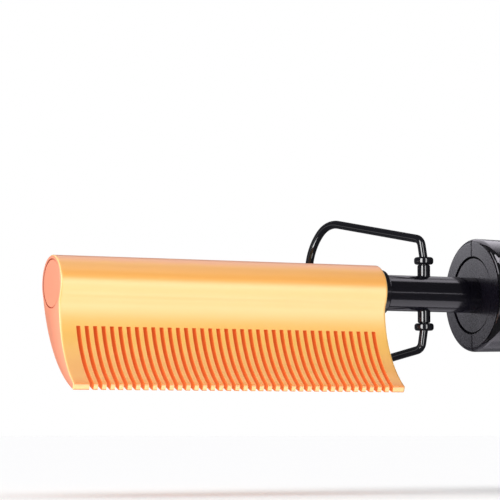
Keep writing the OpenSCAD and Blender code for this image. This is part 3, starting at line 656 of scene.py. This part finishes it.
class HEATEDCOMB_OT_comb_head(bpy.types.Operator):
    """Make the comb head with its curved teeth, and the cap in its free end"""

    bl_idname = "heatedcomb.comb_head"
    bl_label = "Comb head"

    def execute(self, context):
        sizes = settings().comb
        front_x, back_x, chamfer = HEAD_LOW[0], HEAD_HIGH[0], sizes.chamfer / MM
        starts = front_x + sizes.strip / MM + sizes.pitch / MM * np.arange(sizes.teeth + 1)
        slot_edges = np.stack([starts, starts + sizes.slot / MM], axis=1)
        stations = np.concatenate([[front_x + chamfer], slot_edges.ravel(), [back_x - chamfer]])
        # A row close behind each chamfer keeps the chamfer's shading off the rest of the skin
        behind = 0.45
        next_rows = np.array([front_x, back_x]) + (chamfer + behind) * np.array([1, -1])
        outline, (front, rear) = head_back_outline(), blade_ladder()
        # bare is the pale painted highlight on the tips and the chamfers
        skin, wall, end, bare, seam = range(5)
        head = Shape()
        head.grid(extruded(outline, np.sort(np.append(stations, next_rows))), skin)
        # Each solid stretch between two slots has the blade's front, its tip and its rear
        for low, high in stations.reshape(-1, 2):
            rows = [low, *next_rows[(next_rows > low) & (next_rows < high)], high]
            head.grid(extruded(front, rows), skin)
            head.grid(extruded([front[-1], rear[-1]], rows), bare)
            head.grid(extruded(rear, rows), skin)
        for low, high in slot_edges:
            head.grid(extruded([front[0], rear[0]], [low, high]), wall)
            for x in (low, high):
                head.grid(strip(x, front, x, rear), wall)
        # Each end has a chamfer all round and a flat face from there to the bore's chamfer, and
        # below the slots' roots the flat face runs straight across the blade. The bore's circle
        # goes once round from straight below, with a point for each one of the outline
        inner, (front_in, rear_in) = head_back_outline(chamfer), blade_ladder(chamfer)
        polar = np.unwrap(np.arctan2(inner[:, 1], inner[:, 0]))
        turn = np.interp(polar, sorted(polar[[0, -1]]), (-2.5 * math.pi, -0.5 * math.pi))
        circle = np.stack([np.cos(turn), np.sin(turn)], axis=1)
        around = np.concatenate([outline, rear, front[::-1]])
        around_in = np.concatenate([inner, rear_in, front_in[::-1]])
        seam_width, seam_depth = 0.24, 0.32
        hole, lip = BORE_R * circle, (BORE_R + seam_width) * circle
        for x, into in ((front_x, 1), (back_x, -1)):
            head.grid(strip(x + into * chamfer, around, x, around_in), bare)
            head.grid(strip(x, inner, x, lip), end)
            head.grid(strip(x, inner[[0, -1]], x, lip[[0, -1]]), end)
            head.grid(strip(x, front_in, x, rear_in), end)
            # The seam's slope from the lip down to the bore is painted dark: painted shade in the
            # gap at the bore's mouth
            head.grid(strip(x, lip, x + into * seam_depth, hole), seam)
        bore_ends = [front_x + seam_depth, back_x - seam_depth]
        head.grid(extruded(hole[:-1], bore_ends), wall, close_columns=True)
        colours = settings().colours
        finishes = [comb_skin(colours), slot_walls(colours), comb_end(colours), painted_edge_highlight(),
                    moulded("cap_seam_dark", (0.35, 0.06, 0.03), 0.5)]
        made = head.piece("comb_head_shaped", finishes, edge=sizes.edge / MM, sharp=50)
        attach(made, "comb")
        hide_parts("comb_head")

        sunk, rim_round = 0.02, 0.3
        cap_r, face_x, inner_x = CAP_HIGH[2], CAP_LOW[0] + sunk, CAP_HIGH[0]
        profile = rounded([(face_x, 0), (face_x, cap_r), (inner_x, cap_r), (inner_x, 0)],
                          rim_round)
        cap = Shape().grid(turned(profile, (0, 0, 0), (1, 0, 0)), close_columns=True)
        made = cap.piece("head_end_cap_turned", [finishes[2]])
        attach(made, "comb")
        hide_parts("head_end_cap")
        return {"FINISHED"}


class HEATEDCOMB_OT_neck(bpy.types.Operator):
    """Make the neck's collar, and the two sleeves that carry the stand"""

    bl_idname = "heatedcomb.neck"
    bl_label = "Neck"

    def execute(self, context):
        sizes, colours = settings().stand, settings().colours
        rim_r, bore = COLLAR_HIGH[2], TUBE_HIGH[2] + CLEARANCE
        left, right = COLLAR_LOW[0], COLLAR_HIGH[0]
        left_round, right_round, bore_round = 0.3, 0.55, 0.2
        profile = rounded([(left, bore), (left, rim_r), (right, rim_r), (right, bore),
                           (left, bore)], [left_round, right_round, bore_round])
        collar = Shape().grid(turned(profile[:-1], (0, 0, 0), (1, 0, 0)),
                              close_rows=True, close_columns=True)
        made = collar.piece("neck_collar_turned", [
            moulded("collar_black", colours.tube, 0.22, 0.5, 0.004, coat=0.3)])
        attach(made, "comb")
        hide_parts("neck_collar")

        # Each sleeve is turned round the pivot. Its foot runs out along a quarter of an oval
        # onto the tube, whose height at (radius, turn) is sqrt(tube_r^2 - (radius * sin(turn))^2).
        # The rows above the foot are level, and the closing row lies inside the tube
        top, sleeve_r = SLEEVE_HIGH[2], (SLEEVE_HIGH[0] - SLEEVE_LOW[0]) / 2 + FULLER
        foot_r, wire = sizes.sleeve_foot / MM, sizes.wire / MM + CLEARANCE
        foot_height, foot_sunk, foot_thick = 0.45, 0.03, 0.3
        wall_z, inside_z, top_round, mouth_round = 7.2, 4.4, 0.4, 0.15
        turn = np.linspace(0, 2 * math.pi, 72, endpoint=False)
        bend = np.radians(np.linspace(-90, 0, 7))[:, None]
        radius = foot_r - (foot_r - sleeve_r) * np.cos(bend)
        lift = foot_height * (1 + np.sin(bend)) - foot_sunk
        on_tube = np.sqrt(TUBE_HIGH[2] ** 2 - (radius * np.sin(turn)) ** 2) + lift
        upper = rounded([(wall_z, sleeve_r), (top, sleeve_r), (top, wire), (inside_z, wire)],
                        [top_round, mouth_round])
        radii = np.concatenate([[[foot_r - foot_thick]], radius, upper[:, 1:]])
        heights = np.concatenate([np.full((1, len(turn)), inside_z), on_tube,
                                  np.repeat(upper[:, :1], len(turn), axis=1)])
        sleeves = Shape()
        for side in (1, -1):
            around = np.stack([PIVOT_X + radii * np.cos(turn), radii * np.sin(turn),
                               side * heights], axis=-1)
            sleeves.grid(around, close_rows=True, close_columns=True)
        black = lacquer("sleeves_gloss_black", colours.lacquer)
        made = sleeves.piece("pivot_sleeves_shaped", [black], sharp=50)
        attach(made, "comb")
        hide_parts("pivot_sleeves")
        return {"FINISHED"}


def wire_path(sizes):
    """The stand's wire in its own plane, as (reach, height).

    The leg rises straight through its collar and then leans outwards: reach grows with the
    square of the height until it has the lean, and then evenly. An arc of the near bend's radius
    touches the leaning leg and the arm, the arm runs to an arc of the far bend's radius, and a
    wider arc, the bow, carries on from that to the bar. The lower half is the upper one turned
    over.
    """
    reach, half = sizes.reach / MM, sizes.half_height / MM
    r_near, r_far, r_bow = sizes.near_bend / MM, sizes.far_bend / MM, sizes.bow / MM
    spread, lean, meet = (math.degrees(a) for a in (sizes.spread, sizes.lean, sizes.bow_turn))
    # The leg's foot lies in the sleeve and has two close rows, which taper its end
    foot_z, under_top, settle = 3.7, 1.1, 0.6
    leg_z = foot_z + np.array([0, 0.05, 0.5, 3.3, 5.3])
    leg = np.stack([np.zeros_like(leg_z), leg_z], axis=1)
    start = BEAD_HIGH[2] - under_top
    rise = np.linspace(0, settle, 8)
    settling = np.stack([math.tan(sizes.lean) * rise ** 2 / (2 * settle), start + rise], axis=1)
    leg_along, leg_in = direction(90 - lean), direction(-lean)
    arm_along, arm_in = direction(spread), direction(spread - 90)
    leg_foot, arm_foot = np.array([0, start + settle / 2]), np.array([0, half])
    steps = np.linalg.solve(np.stack([leg_along, -arm_along], axis=1),
                            arm_foot - leg_foot + r_near * (arm_in - leg_in))
    near = leg_foot + steps[0] * leg_along + r_near * leg_in
    # The bow touches the bar, and the far bend's arc touches the bow and the arm
    from_bow = (r_bow - r_far) * direction(meet)
    far_x = reach - r_bow + from_bow[0]
    far_z = half + far_x * math.tan(sizes.spread) - r_far / math.cos(sizes.spread)
    far = np.array([far_x, far_z])
    bow = far - from_bow
    near_arc = arc(near, r_near, 180 - lean, 90 + spread, 16)
    far_arc = arc(far, r_far, 90 + spread, meet, 18)
    bow_arc = arc(bow, r_bow, meet, 0, 16)[1:]
    arm = near_arc[-1] + (far_arc[0] - near_arc[-1]) * np.linspace(0, 1, 12)[1:-1, None]
    down = np.linspace(1, 0, 6)[1:, None]
    bar = bow_arc[-1] * np.hstack([np.ones_like(down), down])
    upper = np.concatenate([leg, settling, near_arc, arm, far_arc, bow_arc, bar])
    return np.concatenate([upper, (upper * [1, -1])[-2::-1]])


class HEATEDCOMB_OT_stand(bpy.types.Operator):
    """Make the bent wire stand and the two collars on its legs"""

    bl_idname = "heatedcomb.stand"
    bl_label = "Wire stand"

    def execute(self, context):
        sizes = settings().stand
        black = lacquer("stand_gloss_black", settings().colours.lacquer)
        outward = np.array([*direction(180 - math.degrees(sizes.swing)), 0])
        across, up = np.array([-outward[1], outward[0], 0]), np.array([0, 0, 1])
        flat, wire = wire_path(sizes), sizes.wire / MM
        path = np.array([PIVOT_X, 0, 0]) + flat[:, :1] * outward + flat[:, 1:] * up
        tangent = unit(np.gradient(flat, axis=0))
        normals = -tangent[:, 1:] * outward + tangent[:, :1] * up
        radii, end_share = np.full(len(path), wire), 0.8
        radii[[0, -1]], radii[[1, -2]] = 0, wire * end_share
        shape = Shape().grid(pipe(path, normals, across, radii), close_columns=True)
        made = shape.piece("wire_stand_bent", [black], sharp=60)
        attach(made, "stand")
        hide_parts("wire_stand")

        # Each collar is a flattened ring. Its rim is half an oval whose sine and cosine, each to
        # a power below 1, make it fuller, and its faces slope in to the wire
        apart, rim_width, rim_share, power, below, above = 0.1, 1.05, 0.97, 0.7, 0.5, 0.3
        low, top = SLEEVE_HIGH[2] + apart, BEAD_HIGH[2]
        rim_r = (BEAD_HIGH[0] - BEAD_LOW[0]) / 2 + FULLER
        turn = np.radians(np.linspace(-90, 90, 19))
        full = np.sign(np.sin(turn)) * np.abs(np.sin(turn)) ** power
        rim = np.stack([(low + top) / 2 + (top - low) / 2 * rim_share * full,
                        rim_r - rim_width + rim_width * np.abs(np.cos(turn)) ** power], axis=1)
        bore = wire + CLEARANCE
        profile = np.concatenate([[(low, bore), (low, wire + below)], rim,
                                  [(top, wire + above), (top, bore)]])
        beads = Shape()
        for side in (1, -1):
            beads.grid(turned(profile, (PIVOT_X, 0, 0), (0, 0, side), count=64),
                       close_rows=True, close_columns=True)
        made = beads.piece("stand_collars_turned", [black], sharp=50)
        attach(made, "stand")
        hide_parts("stand_collars")
        return {"FINISHED"}


def marked(path, half_width, height):
    """A raised line along a path in a plane, as (across, along, height) points.

    The outline runs up one side of the path at half_width, round its end in a half circle and
    back. The rows inside it rise by a quarter of an oval to a narrower top, which closes on the
    path.
    """
    tangent = unit(np.gradient(path, axis=0))
    normal = np.stack([-tangent[:, 1], tangent[:, 0]], axis=1)
    turn = np.radians(np.linspace(90, -90, 12))[1:-1, None]
    end = np.cos(turn) * tangent[-1] + np.sin(turn) * normal[-1]
    start = -np.cos(turn) * tangent[0] - np.sin(turn) * normal[0]
    away = np.concatenate([normal, end, -normal[::-1], start])
    middle = np.concatenate([path, np.repeat(path[-1:], len(end), 0), path[::-1],
                             np.repeat(path[:1], len(start), 0)])
    rows, top_share = np.radians(np.linspace(0, 90, 6)), 0.55
    shares = top_share + (1 - top_share) * np.cos(rows)
    width = np.concatenate([[1.0], shares, [0.0]]) * half_width
    rise = np.concatenate([[-0.5], np.sin(rows), [1.0]]) * height
    flat = middle[None] + width[:, None, None] * away[None]
    lift = np.broadcast_to(rise[:, None, None], (*flat.shape[:2], 1))
    return np.concatenate([flat, lift], axis=2)


# The lines of each button's mark, as points across and up from its middle
BAR_REACH, RING_R = 1.35, 1.5
BAR = np.linspace((-BAR_REACH, 0), (BAR_REACH, 0), 9)
STROKE = np.linspace((0, -0.1), (0, RING_R), 9)
MARKS = {
    "plus": (BAR, BAR[:, ::-1]),
    "minus": (BAR,),
    "power": (STROKE, arc(np.zeros(2), RING_R, 125, 415, 30)),
}


def dished(radius, dish_r, deepest=0.22):
    """Depth of a button's dished top: deepest * (1 - (radius / dish_r)^2)^2, and 0 outside."""
    return deepest * (1 - np.minimum(radius / dish_r, 1) ** 2) ** 2


class HEATEDCOMB_OT_buttons(bpy.types.Operator):
    """Make the three buttons with their raised marks"""

    bl_idname = "heatedcomb.buttons"
    bl_label = "Buttons"

    def execute(self, context):
        cap = moulded("button_satin_black", (0.022, 0.022, 0.026), 0.34, 0.4, 0.008)
        white = moulded("button_mark_white", (0.72, 0.72, 0.72), 0.45, 0.3, 0.006)
        flange_width, flange_height, rim_width = 0.7, 0.8, 0.75
        rim_round, step_round, flange_round = 0.5, 0.1, 0.15
        mark_half_width, mark_height = 0.2, 0.09
        for name, lines in MARKS.items():
            node = name + "_button"
            low, high = node_box(node)
            x, _, z = (low + high) / 2
            top, depth, base_r = low[1], high[1] - low[1], (high[0] - low[0]) / 2
            cap_r = base_r - flange_width
            dish_r, step = cap_r - rim_width, depth - flange_height
            radius = np.linspace(0, dish_r, 12)
            dish = np.stack([dished(radius, dish_r), radius], axis=1)
            side = rounded([(0, dish_r), (0, cap_r), (step, cap_r), (step, base_r),
                            (depth, base_r), (depth, 0)],
                           [rim_round, step_round, flange_round, flange_round])
            profile = np.concatenate([dish, side[1:]])
            shape = Shape().grid(turned(profile, (x, top, z), (0, 1, 0)), close_columns=True)
            made = shape.piece(node + "_dished", [cap])
            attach(made, name)
            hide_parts(node)

            signs = Shape()
            for line in lines:
                raised = marked(line, mark_half_width, mark_height)
                floor = dished(np.hypot(raised[..., 0], raised[..., 1]), dish_r)
                signs.grid(np.stack([x + raised[..., 0], top + floor - raised[..., 2],
                                     z + raised[..., 1]], axis=-1), close_columns=True)
            made = signs.piece(node + "_mark", [white])
            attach(made, name)
        return {"FINISHED"}


class HEATEDCOMB_OT_nodes(bpy.types.Operator):
    """Give every node that keeps its own shape its material"""

    bl_idname = "heatedcomb.nodes"
    bl_label = "Other nodes"

    def execute(self, context):
        colours = settings().colours
        shell = colours.shell
        finishes = {
            "neck_tube": tube_finish(colours.tube),
            "neck_flange": moulded("disc_satin_black", shell, 0.28, 0.45, 0.01, coat=0.2),
            "handle_front_shell handle_back_shell":
                moulded("handle_satin_black", shell, 0.24, 0.6, 0.006, coat=0.25),
            "tail_ring": moulded("tail_ring_black", shell, 0.2, 0.7, 0.005, coat=0.3),
            "control_panel": lacquer("panel_piano_black", (0.004, 0.004, 0.005), 0.04, 0.8),
            "display_window": smoked_glass("window_smoked", (0.35, 0.37, 0.4), 0.9),
            "display_module": moulded("display_white", (0.7, 0.7, 0.68), 0.5),
            "cord_swivel": moulded("swivel_fine_black", tint(shell, 0.9), 0.5, 0.3, 0.02),
            "heater_element": moulded("heater_ceramic", (0.6, 0.6, 0.57), 0.7, 0.5, 0.02),
            "temperature_sensor":
                moulded("sensor_glaze", (0.75, 0.72, 0.62), 0.2, 0.6, 0.01, coat=0.4),
            "upper_heat_spreader lower_heat_spreader":
                drawn_metal("spreader_aluminium", (0.62, 0.63, 0.65), 0.35, (20, 0.2, 0.2)),
            "thermal_fuse": drawn_metal("fuse_tinned", (0.6, 0.6, 0.58), 0.3, (6, 0.3, 0.3)),
            "tube_clamp": drawn_metal("clamp_cast", (0.42, 0.42, 0.44), 0.5, (0.8, 0.8, 0.8)),
            "collar_grub_screw clamp_screws shell_screws board_screws holder_screws":
                drawn_metal("screws_zinc", (0.5, 0.5, 0.52), 0.25, (0.3, 3, 0.3)),
            "slip_rings": drawn_metal("rings_brass", (0.78, 0.55, 0.2), 0.18, (0.1, 4, 4)),
            "contact_brushes": drawn_metal("brush_bronze", (0.6, 0.33, 0.15), 0.3, (4, 0.2, 0.2)),
            "circuit_board": circuit_board_finish("board_green", (0.012, 0.10, 0.04)),
            "switch_bodies brush_holder": moulded("parts_grey", (0.09, 0.09, 0.095), 0.45),
            "plus_plunger minus_plunger power_plunger triac":
                moulded("parts_black", (0.02, 0.02, 0.02), 0.5),
            "heater_terminal supply_terminal": moulded("terminal_green", (0.03, 0.2, 0.07), 0.4),
            "film_capacitor":
                moulded("capacitor_yellow", (0.55, 0.32, 0.02), 0.35, 0.8, 0.02, coat=0.2),
            "glass_fuse": smoked_glass("fuse_glass", (0.85, 0.88, 0.9), 0.8),
            "heater_leads": moulded("lead_red", (0.35, 0.015, 0.01), 0.4, 0.25, 0.01),
            "sensor_leads": moulded("lead_white", (0.7, 0.69, 0.65), 0.45, 0.25, 0.01),
            "supply_leads": moulded("lead_brown", (0.09, 0.035, 0.012), 0.45, 0.25, 0.01),
        }
        for names, finish in finishes.items():
            for name in names.split():
                mesh = frame["nodes"][name].data
                mesh.materials.clear()
                mesh.materials.append(finish)
        bare = [name for name, node in frame["nodes"].items()
                if not node.hide_render and name not in " ".join(finishes).split()]
        if bare:
            raise RuntimeError(f"these nodes have no finish: {bare}")
        return {"FINISHED"}


# Hues of the lamps, and the point that most of them are aimed at
WHITE, WARM, COOL, BLUE = (1, 1, 1), (1.0, 0.95, 0.82), (0.95, 0.91, 1.0), (0.93, 0.92, 1.0)
MIDDLE = (-150, 0, 0)


def only_for(lamp, pieces):
    """Makes a lamp light only these pieces."""
    lit = bpy.data.collections.new(lamp.name + "_lights")
    for piece in pieces:
        lit.objects.link(piece)
    lamp.light_linking.receiver_collection = lit


def soft_box(name, pieces, place, width, height, radiance, hue=WHITE, aim=MIDDLE):
    """A rectangular lamp at a place, aimed at a point, that lights only these pieces.

    Its power in watts is pi times its area in square metres, its radiance and the user's factor.
    """
    lamp = bpy.data.lights.new(name, "AREA")
    lamp.shape, lamp.size, lamp.size_y = "RECTANGLE", width * MM, height * MM
    lamp.energy = math.pi * lamp.size * lamp.size_y * radiance * settings().studio.power
    lamp.color = hue
    holder = in_scene(name, lamp)
    holder.location = [v * MM for v in place]
    to = Vector([b - a for a, b in zip(place, aim)])
    holder.rotation_euler = to.to_track_quat("-Z", "Y").to_euler()
    holder.visible_camera = False
    only_for(holder, pieces)


def pale_floor():
    """A level floor, which isn't mirrored in the gloss and lets light from below through."""
    sizes, half = settings().studio, 9000
    span = np.linspace(-half, half, 7)
    x, y = np.meshgrid(span, span, indexing="ij")
    points = np.stack([x, y, np.full_like(x, -sizes.floor_depth / MM)], axis=-1)
    finish = Finish("floor_pale", Specular_IOR_Level=0.1)
    cloud = finish.noise(300, detail=2)
    finish.set(Base_Color=finish.shades(cloud, sizes.floor, 0.995, 1.0),
               Roughness=0.85 + cloud * 0.1)
    floor = Shape().grid(points).piece("floor", [finish.material])
    floor.visible_glossy = floor.visible_shadow = False
    return floor


def surroundings():
    """The camera sees white all round; the comb reflects a dim room, lighter behind."""
    world = bpy.data.worlds.new("surroundings")
    bpy.context.scene.world = world
    dim, lighter = 0.10, 0.08
    sky, fill = Nodes(world), settings().studio.fill
    toward = sky.node("ShaderNodeTexCoord", output="Generated")
    behind = sky.step(sky.node("ShaderNodeSeparateXYZ", None, {0: toward}, "Y"), 0.3, 0.85)
    room = sky.node("ShaderNodeBackground", None, {
        "Color": (0.94, 0.93, 1.0, 1.0), "Strength": dim * fill + behind * (lighter * fill)})
    white = sky.node("ShaderNodeBackground", None, {"Color": (1.0, 1.0, 1.0, 1.0)})
    seen = sky.node("ShaderNodeLightPath", output="Is Camera Ray")
    sky.node("ShaderNodeOutputWorld", None, {
        0: sky.node("ShaderNodeMixShader", None, {0: seen, 1: room, 2: white})}, None)


def lamps(floor):
    """Soft boxes for each group of pieces, and a wide sun for the floor.

    Each row has a name, the pieces lit, the place, width and height in millimetres and the
    radiance, then a hue and the point it is aimed at where they aren't the usual ones.
    """
    nodes = frame["nodes"]
    comb, stand = ([bpy.data.objects[name] for name in names.split()] for names in (
        "comb_head_shaped head_end_cap_turned",
        "wire_stand_bent stand_collars_turned pivot_sleeves_shaped"))
    tube, gloss = [nodes["neck_tube"]], [nodes["control_panel"], nodes["display_window"]]
    neck = tube + [bpy.data.objects["neck_collar_turned"]]
    shells = [piece for piece in bpy.data.objects
              if piece.type == "MESH" and not piece.hide_render
              and piece not in (*comb, *stand, *neck, *gloss, floor)]
    front = [nodes[name] for name in ("neck_flange", "handle_front_shell", "handle_back_shell")]
    rows = [
        ("front_card", comb, (275, -1350, -340), 1350, 1760, 1.65),
        ("front_line", comb, (275, -1350, 150), 1350, 420, 0.5),
        ("fill_card", comb, (-700, -1300, 500), 900, 900, 1.4, WHITE, (-230, 0, 0)),
        ("left_card", comb, (-1500, -500, 150), 1200, 1200, 4.2, WHITE, (-250, 0, 0)),
        ("upper_card", comb, (-200, -500, 1400), 1600, 900, 0.6),
        ("top_card", comb, (-100, 620, 1220), 1800, 1400, 1.0, WARM),
        ("lower_card", comb, (275, -700, -1300), 1350, 1300, 1.1),
        ("rear_right_card", comb, (1900, 1300, 500), 1500, 1300, 2.2),
        ("rear_left_card", comb, (-1900, 1500, 700), 1300, 1000, 1.0),
        ("left_strip", stand, (-1432, -795, 100), 650, 2200, 16, WHITE, (-160, 0, 100)),
        ("middle_strip", stand, (-108, -1499, 100), 420, 2200, 9, WHITE, (-160, 0, 100)),
        ("side_card", stand, (-1600, 350, -120), 900, 320, 1.0),
        ("overhead", tube, (-100, 200, 1350), 1800, 560, 2.0, COOL),
        ("upper_rear", tube, (-100, 850, 1070), 1800, 1000, 0.8, COOL),
        ("under_card", neck, (100, -600, -1250), 1800, 1100, 1.3, COOL),
        ("panel_card", gloss, (110, -422, 1300), 1200, 460, 5.0, COOL, (110, 0, 0)),
        ("handle_card", shells, (-100, 790, 1170), 1800, 1450, 1.8, COOL),
        ("handle_under_card", shells, (0, -100, -1400), 1800, 1300, 1.5, COOL),
        # Seen only from the ends and from behind
        ("right_end_top", neck + shells + gloss, (2100, 100, 1300), 1500, 900, 3.0, COOL),
        ("right_end_rear", neck + shells, (2100, 1500, 150), 1500, 260, 3.5, COOL),
        ("left_end_top", neck + shells + gloss, (-2100, 100, 1300), 1500, 900, 3.0, COOL),
        ("left_end_rear", neck + shells, (-2100, 1500, 150), 1500, 260, 3.5, COOL),
        ("left_end_low", shells + gloss, (-1550, -1350, -1000), 900, 600, 1.3, COOL),
        ("ring_card", front, (-880, 1340, 330), 420, 420, 2.1, BLUE),
        ("thin_line", neck + gloss, (600, -1500, 70), 1800, 80, 2.8, COOL),
        ("lower_rear", neck + shells, (-100, 800, -1150), 1800, 900, 0.5, COOL),
    ]
    for row in rows:
        soft_box(*row)
    lamp = bpy.data.lights.new("floor_light", "SUN")
    floor_radiance, sun_width = 0.98, 100
    lamp.energy, lamp.angle = math.pi * floor_radiance, math.radians(sun_width)
    only_for(in_scene("floor_light", lamp), [floor])


def main_camera():
    """A long lens to the front left of the comb, a little below the main axis."""
    camera = in_scene("camera", bpy.data.cameras.new("camera"))
    camera.location = [v * MM for v in (-511.32, -629.30, -43.29)]
    camera.rotation_euler = [math.radians(v) for v in (94.566, 0, -24.373)]
    camera.data.lens, camera.data.sensor_width = 164.17, 36.0
    camera.data.clip_start, camera.data.clip_end = 0.01, 50.0
    bpy.context.scene.camera = camera
    bpy.context.scene.view_settings.view_transform = "Standard"
    bpy.context.scene.view_settings.look = "None"


class HEATEDCOMB_OT_studio(bpy.types.Operator):
    """Make the floor, the surroundings, the lamps and the camera"""

    bl_idname = "heatedcomb.studio"
    bl_label = "Studio"

    def execute(self, context):
        floor = pale_floor()
        surroundings()
        lamps(floor)
        main_camera()
        return {"FINISHED"}


class HEATEDCOMB_PT_panel(bpy.types.Panel):
    """Lists the comb's settings and the steps that make it."""

    bl_label = "Heated comb"
    bl_idname = "HEATEDCOMB_PT_panel"
    bl_space_type = "VIEW_3D"
    bl_region_type = "UI"
    bl_category = "Heated comb"

    def draw(self, context):
        for operator in OPERATORS:
            self.layout.operator(operator.bl_idname)
        groups = context.scene.heated_comb
        for group in (groups.comb, groups.stand, groups.colours, groups.studio):
            box = self.layout.box()
            for name in group.__annotations__:
                box.prop(group, name)


GROUPS = (CombSizes, StandSizes, Colours, StudioSettings, HeatedComb)
OPERATORS = (
    HEATEDCOMB_OT_comb_head, HEATEDCOMB_OT_neck, HEATEDCOMB_OT_stand, HEATEDCOMB_OT_buttons,
    HEATEDCOMB_OT_nodes, HEATEDCOMB_OT_studio)


def register():
    for kind in (*GROUPS, *OPERATORS, HEATEDCOMB_PT_panel):
        bpy.utils.register_class(kind)
    bpy.types.Scene.heated_comb = bpy.props.PointerProperty(type=HeatedComb)


def unregister():
    del bpy.types.Scene.heated_comb
    for kind in reversed((*GROUPS, *OPERATORS, HEATEDCOMB_PT_panel)):
        bpy.utils.unregister_class(kind)


def main():
    """Makes everything, in order."""
    register()
    bpy.ops.heatedcomb.comb_head()
    bpy.ops.heatedcomb.neck()
    bpy.ops.heatedcomb.stand()
    bpy.ops.heatedcomb.buttons()
    bpy.ops.heatedcomb.nodes()
    bpy.ops.heatedcomb.studio()


if __name__ == "__main__":
    main()
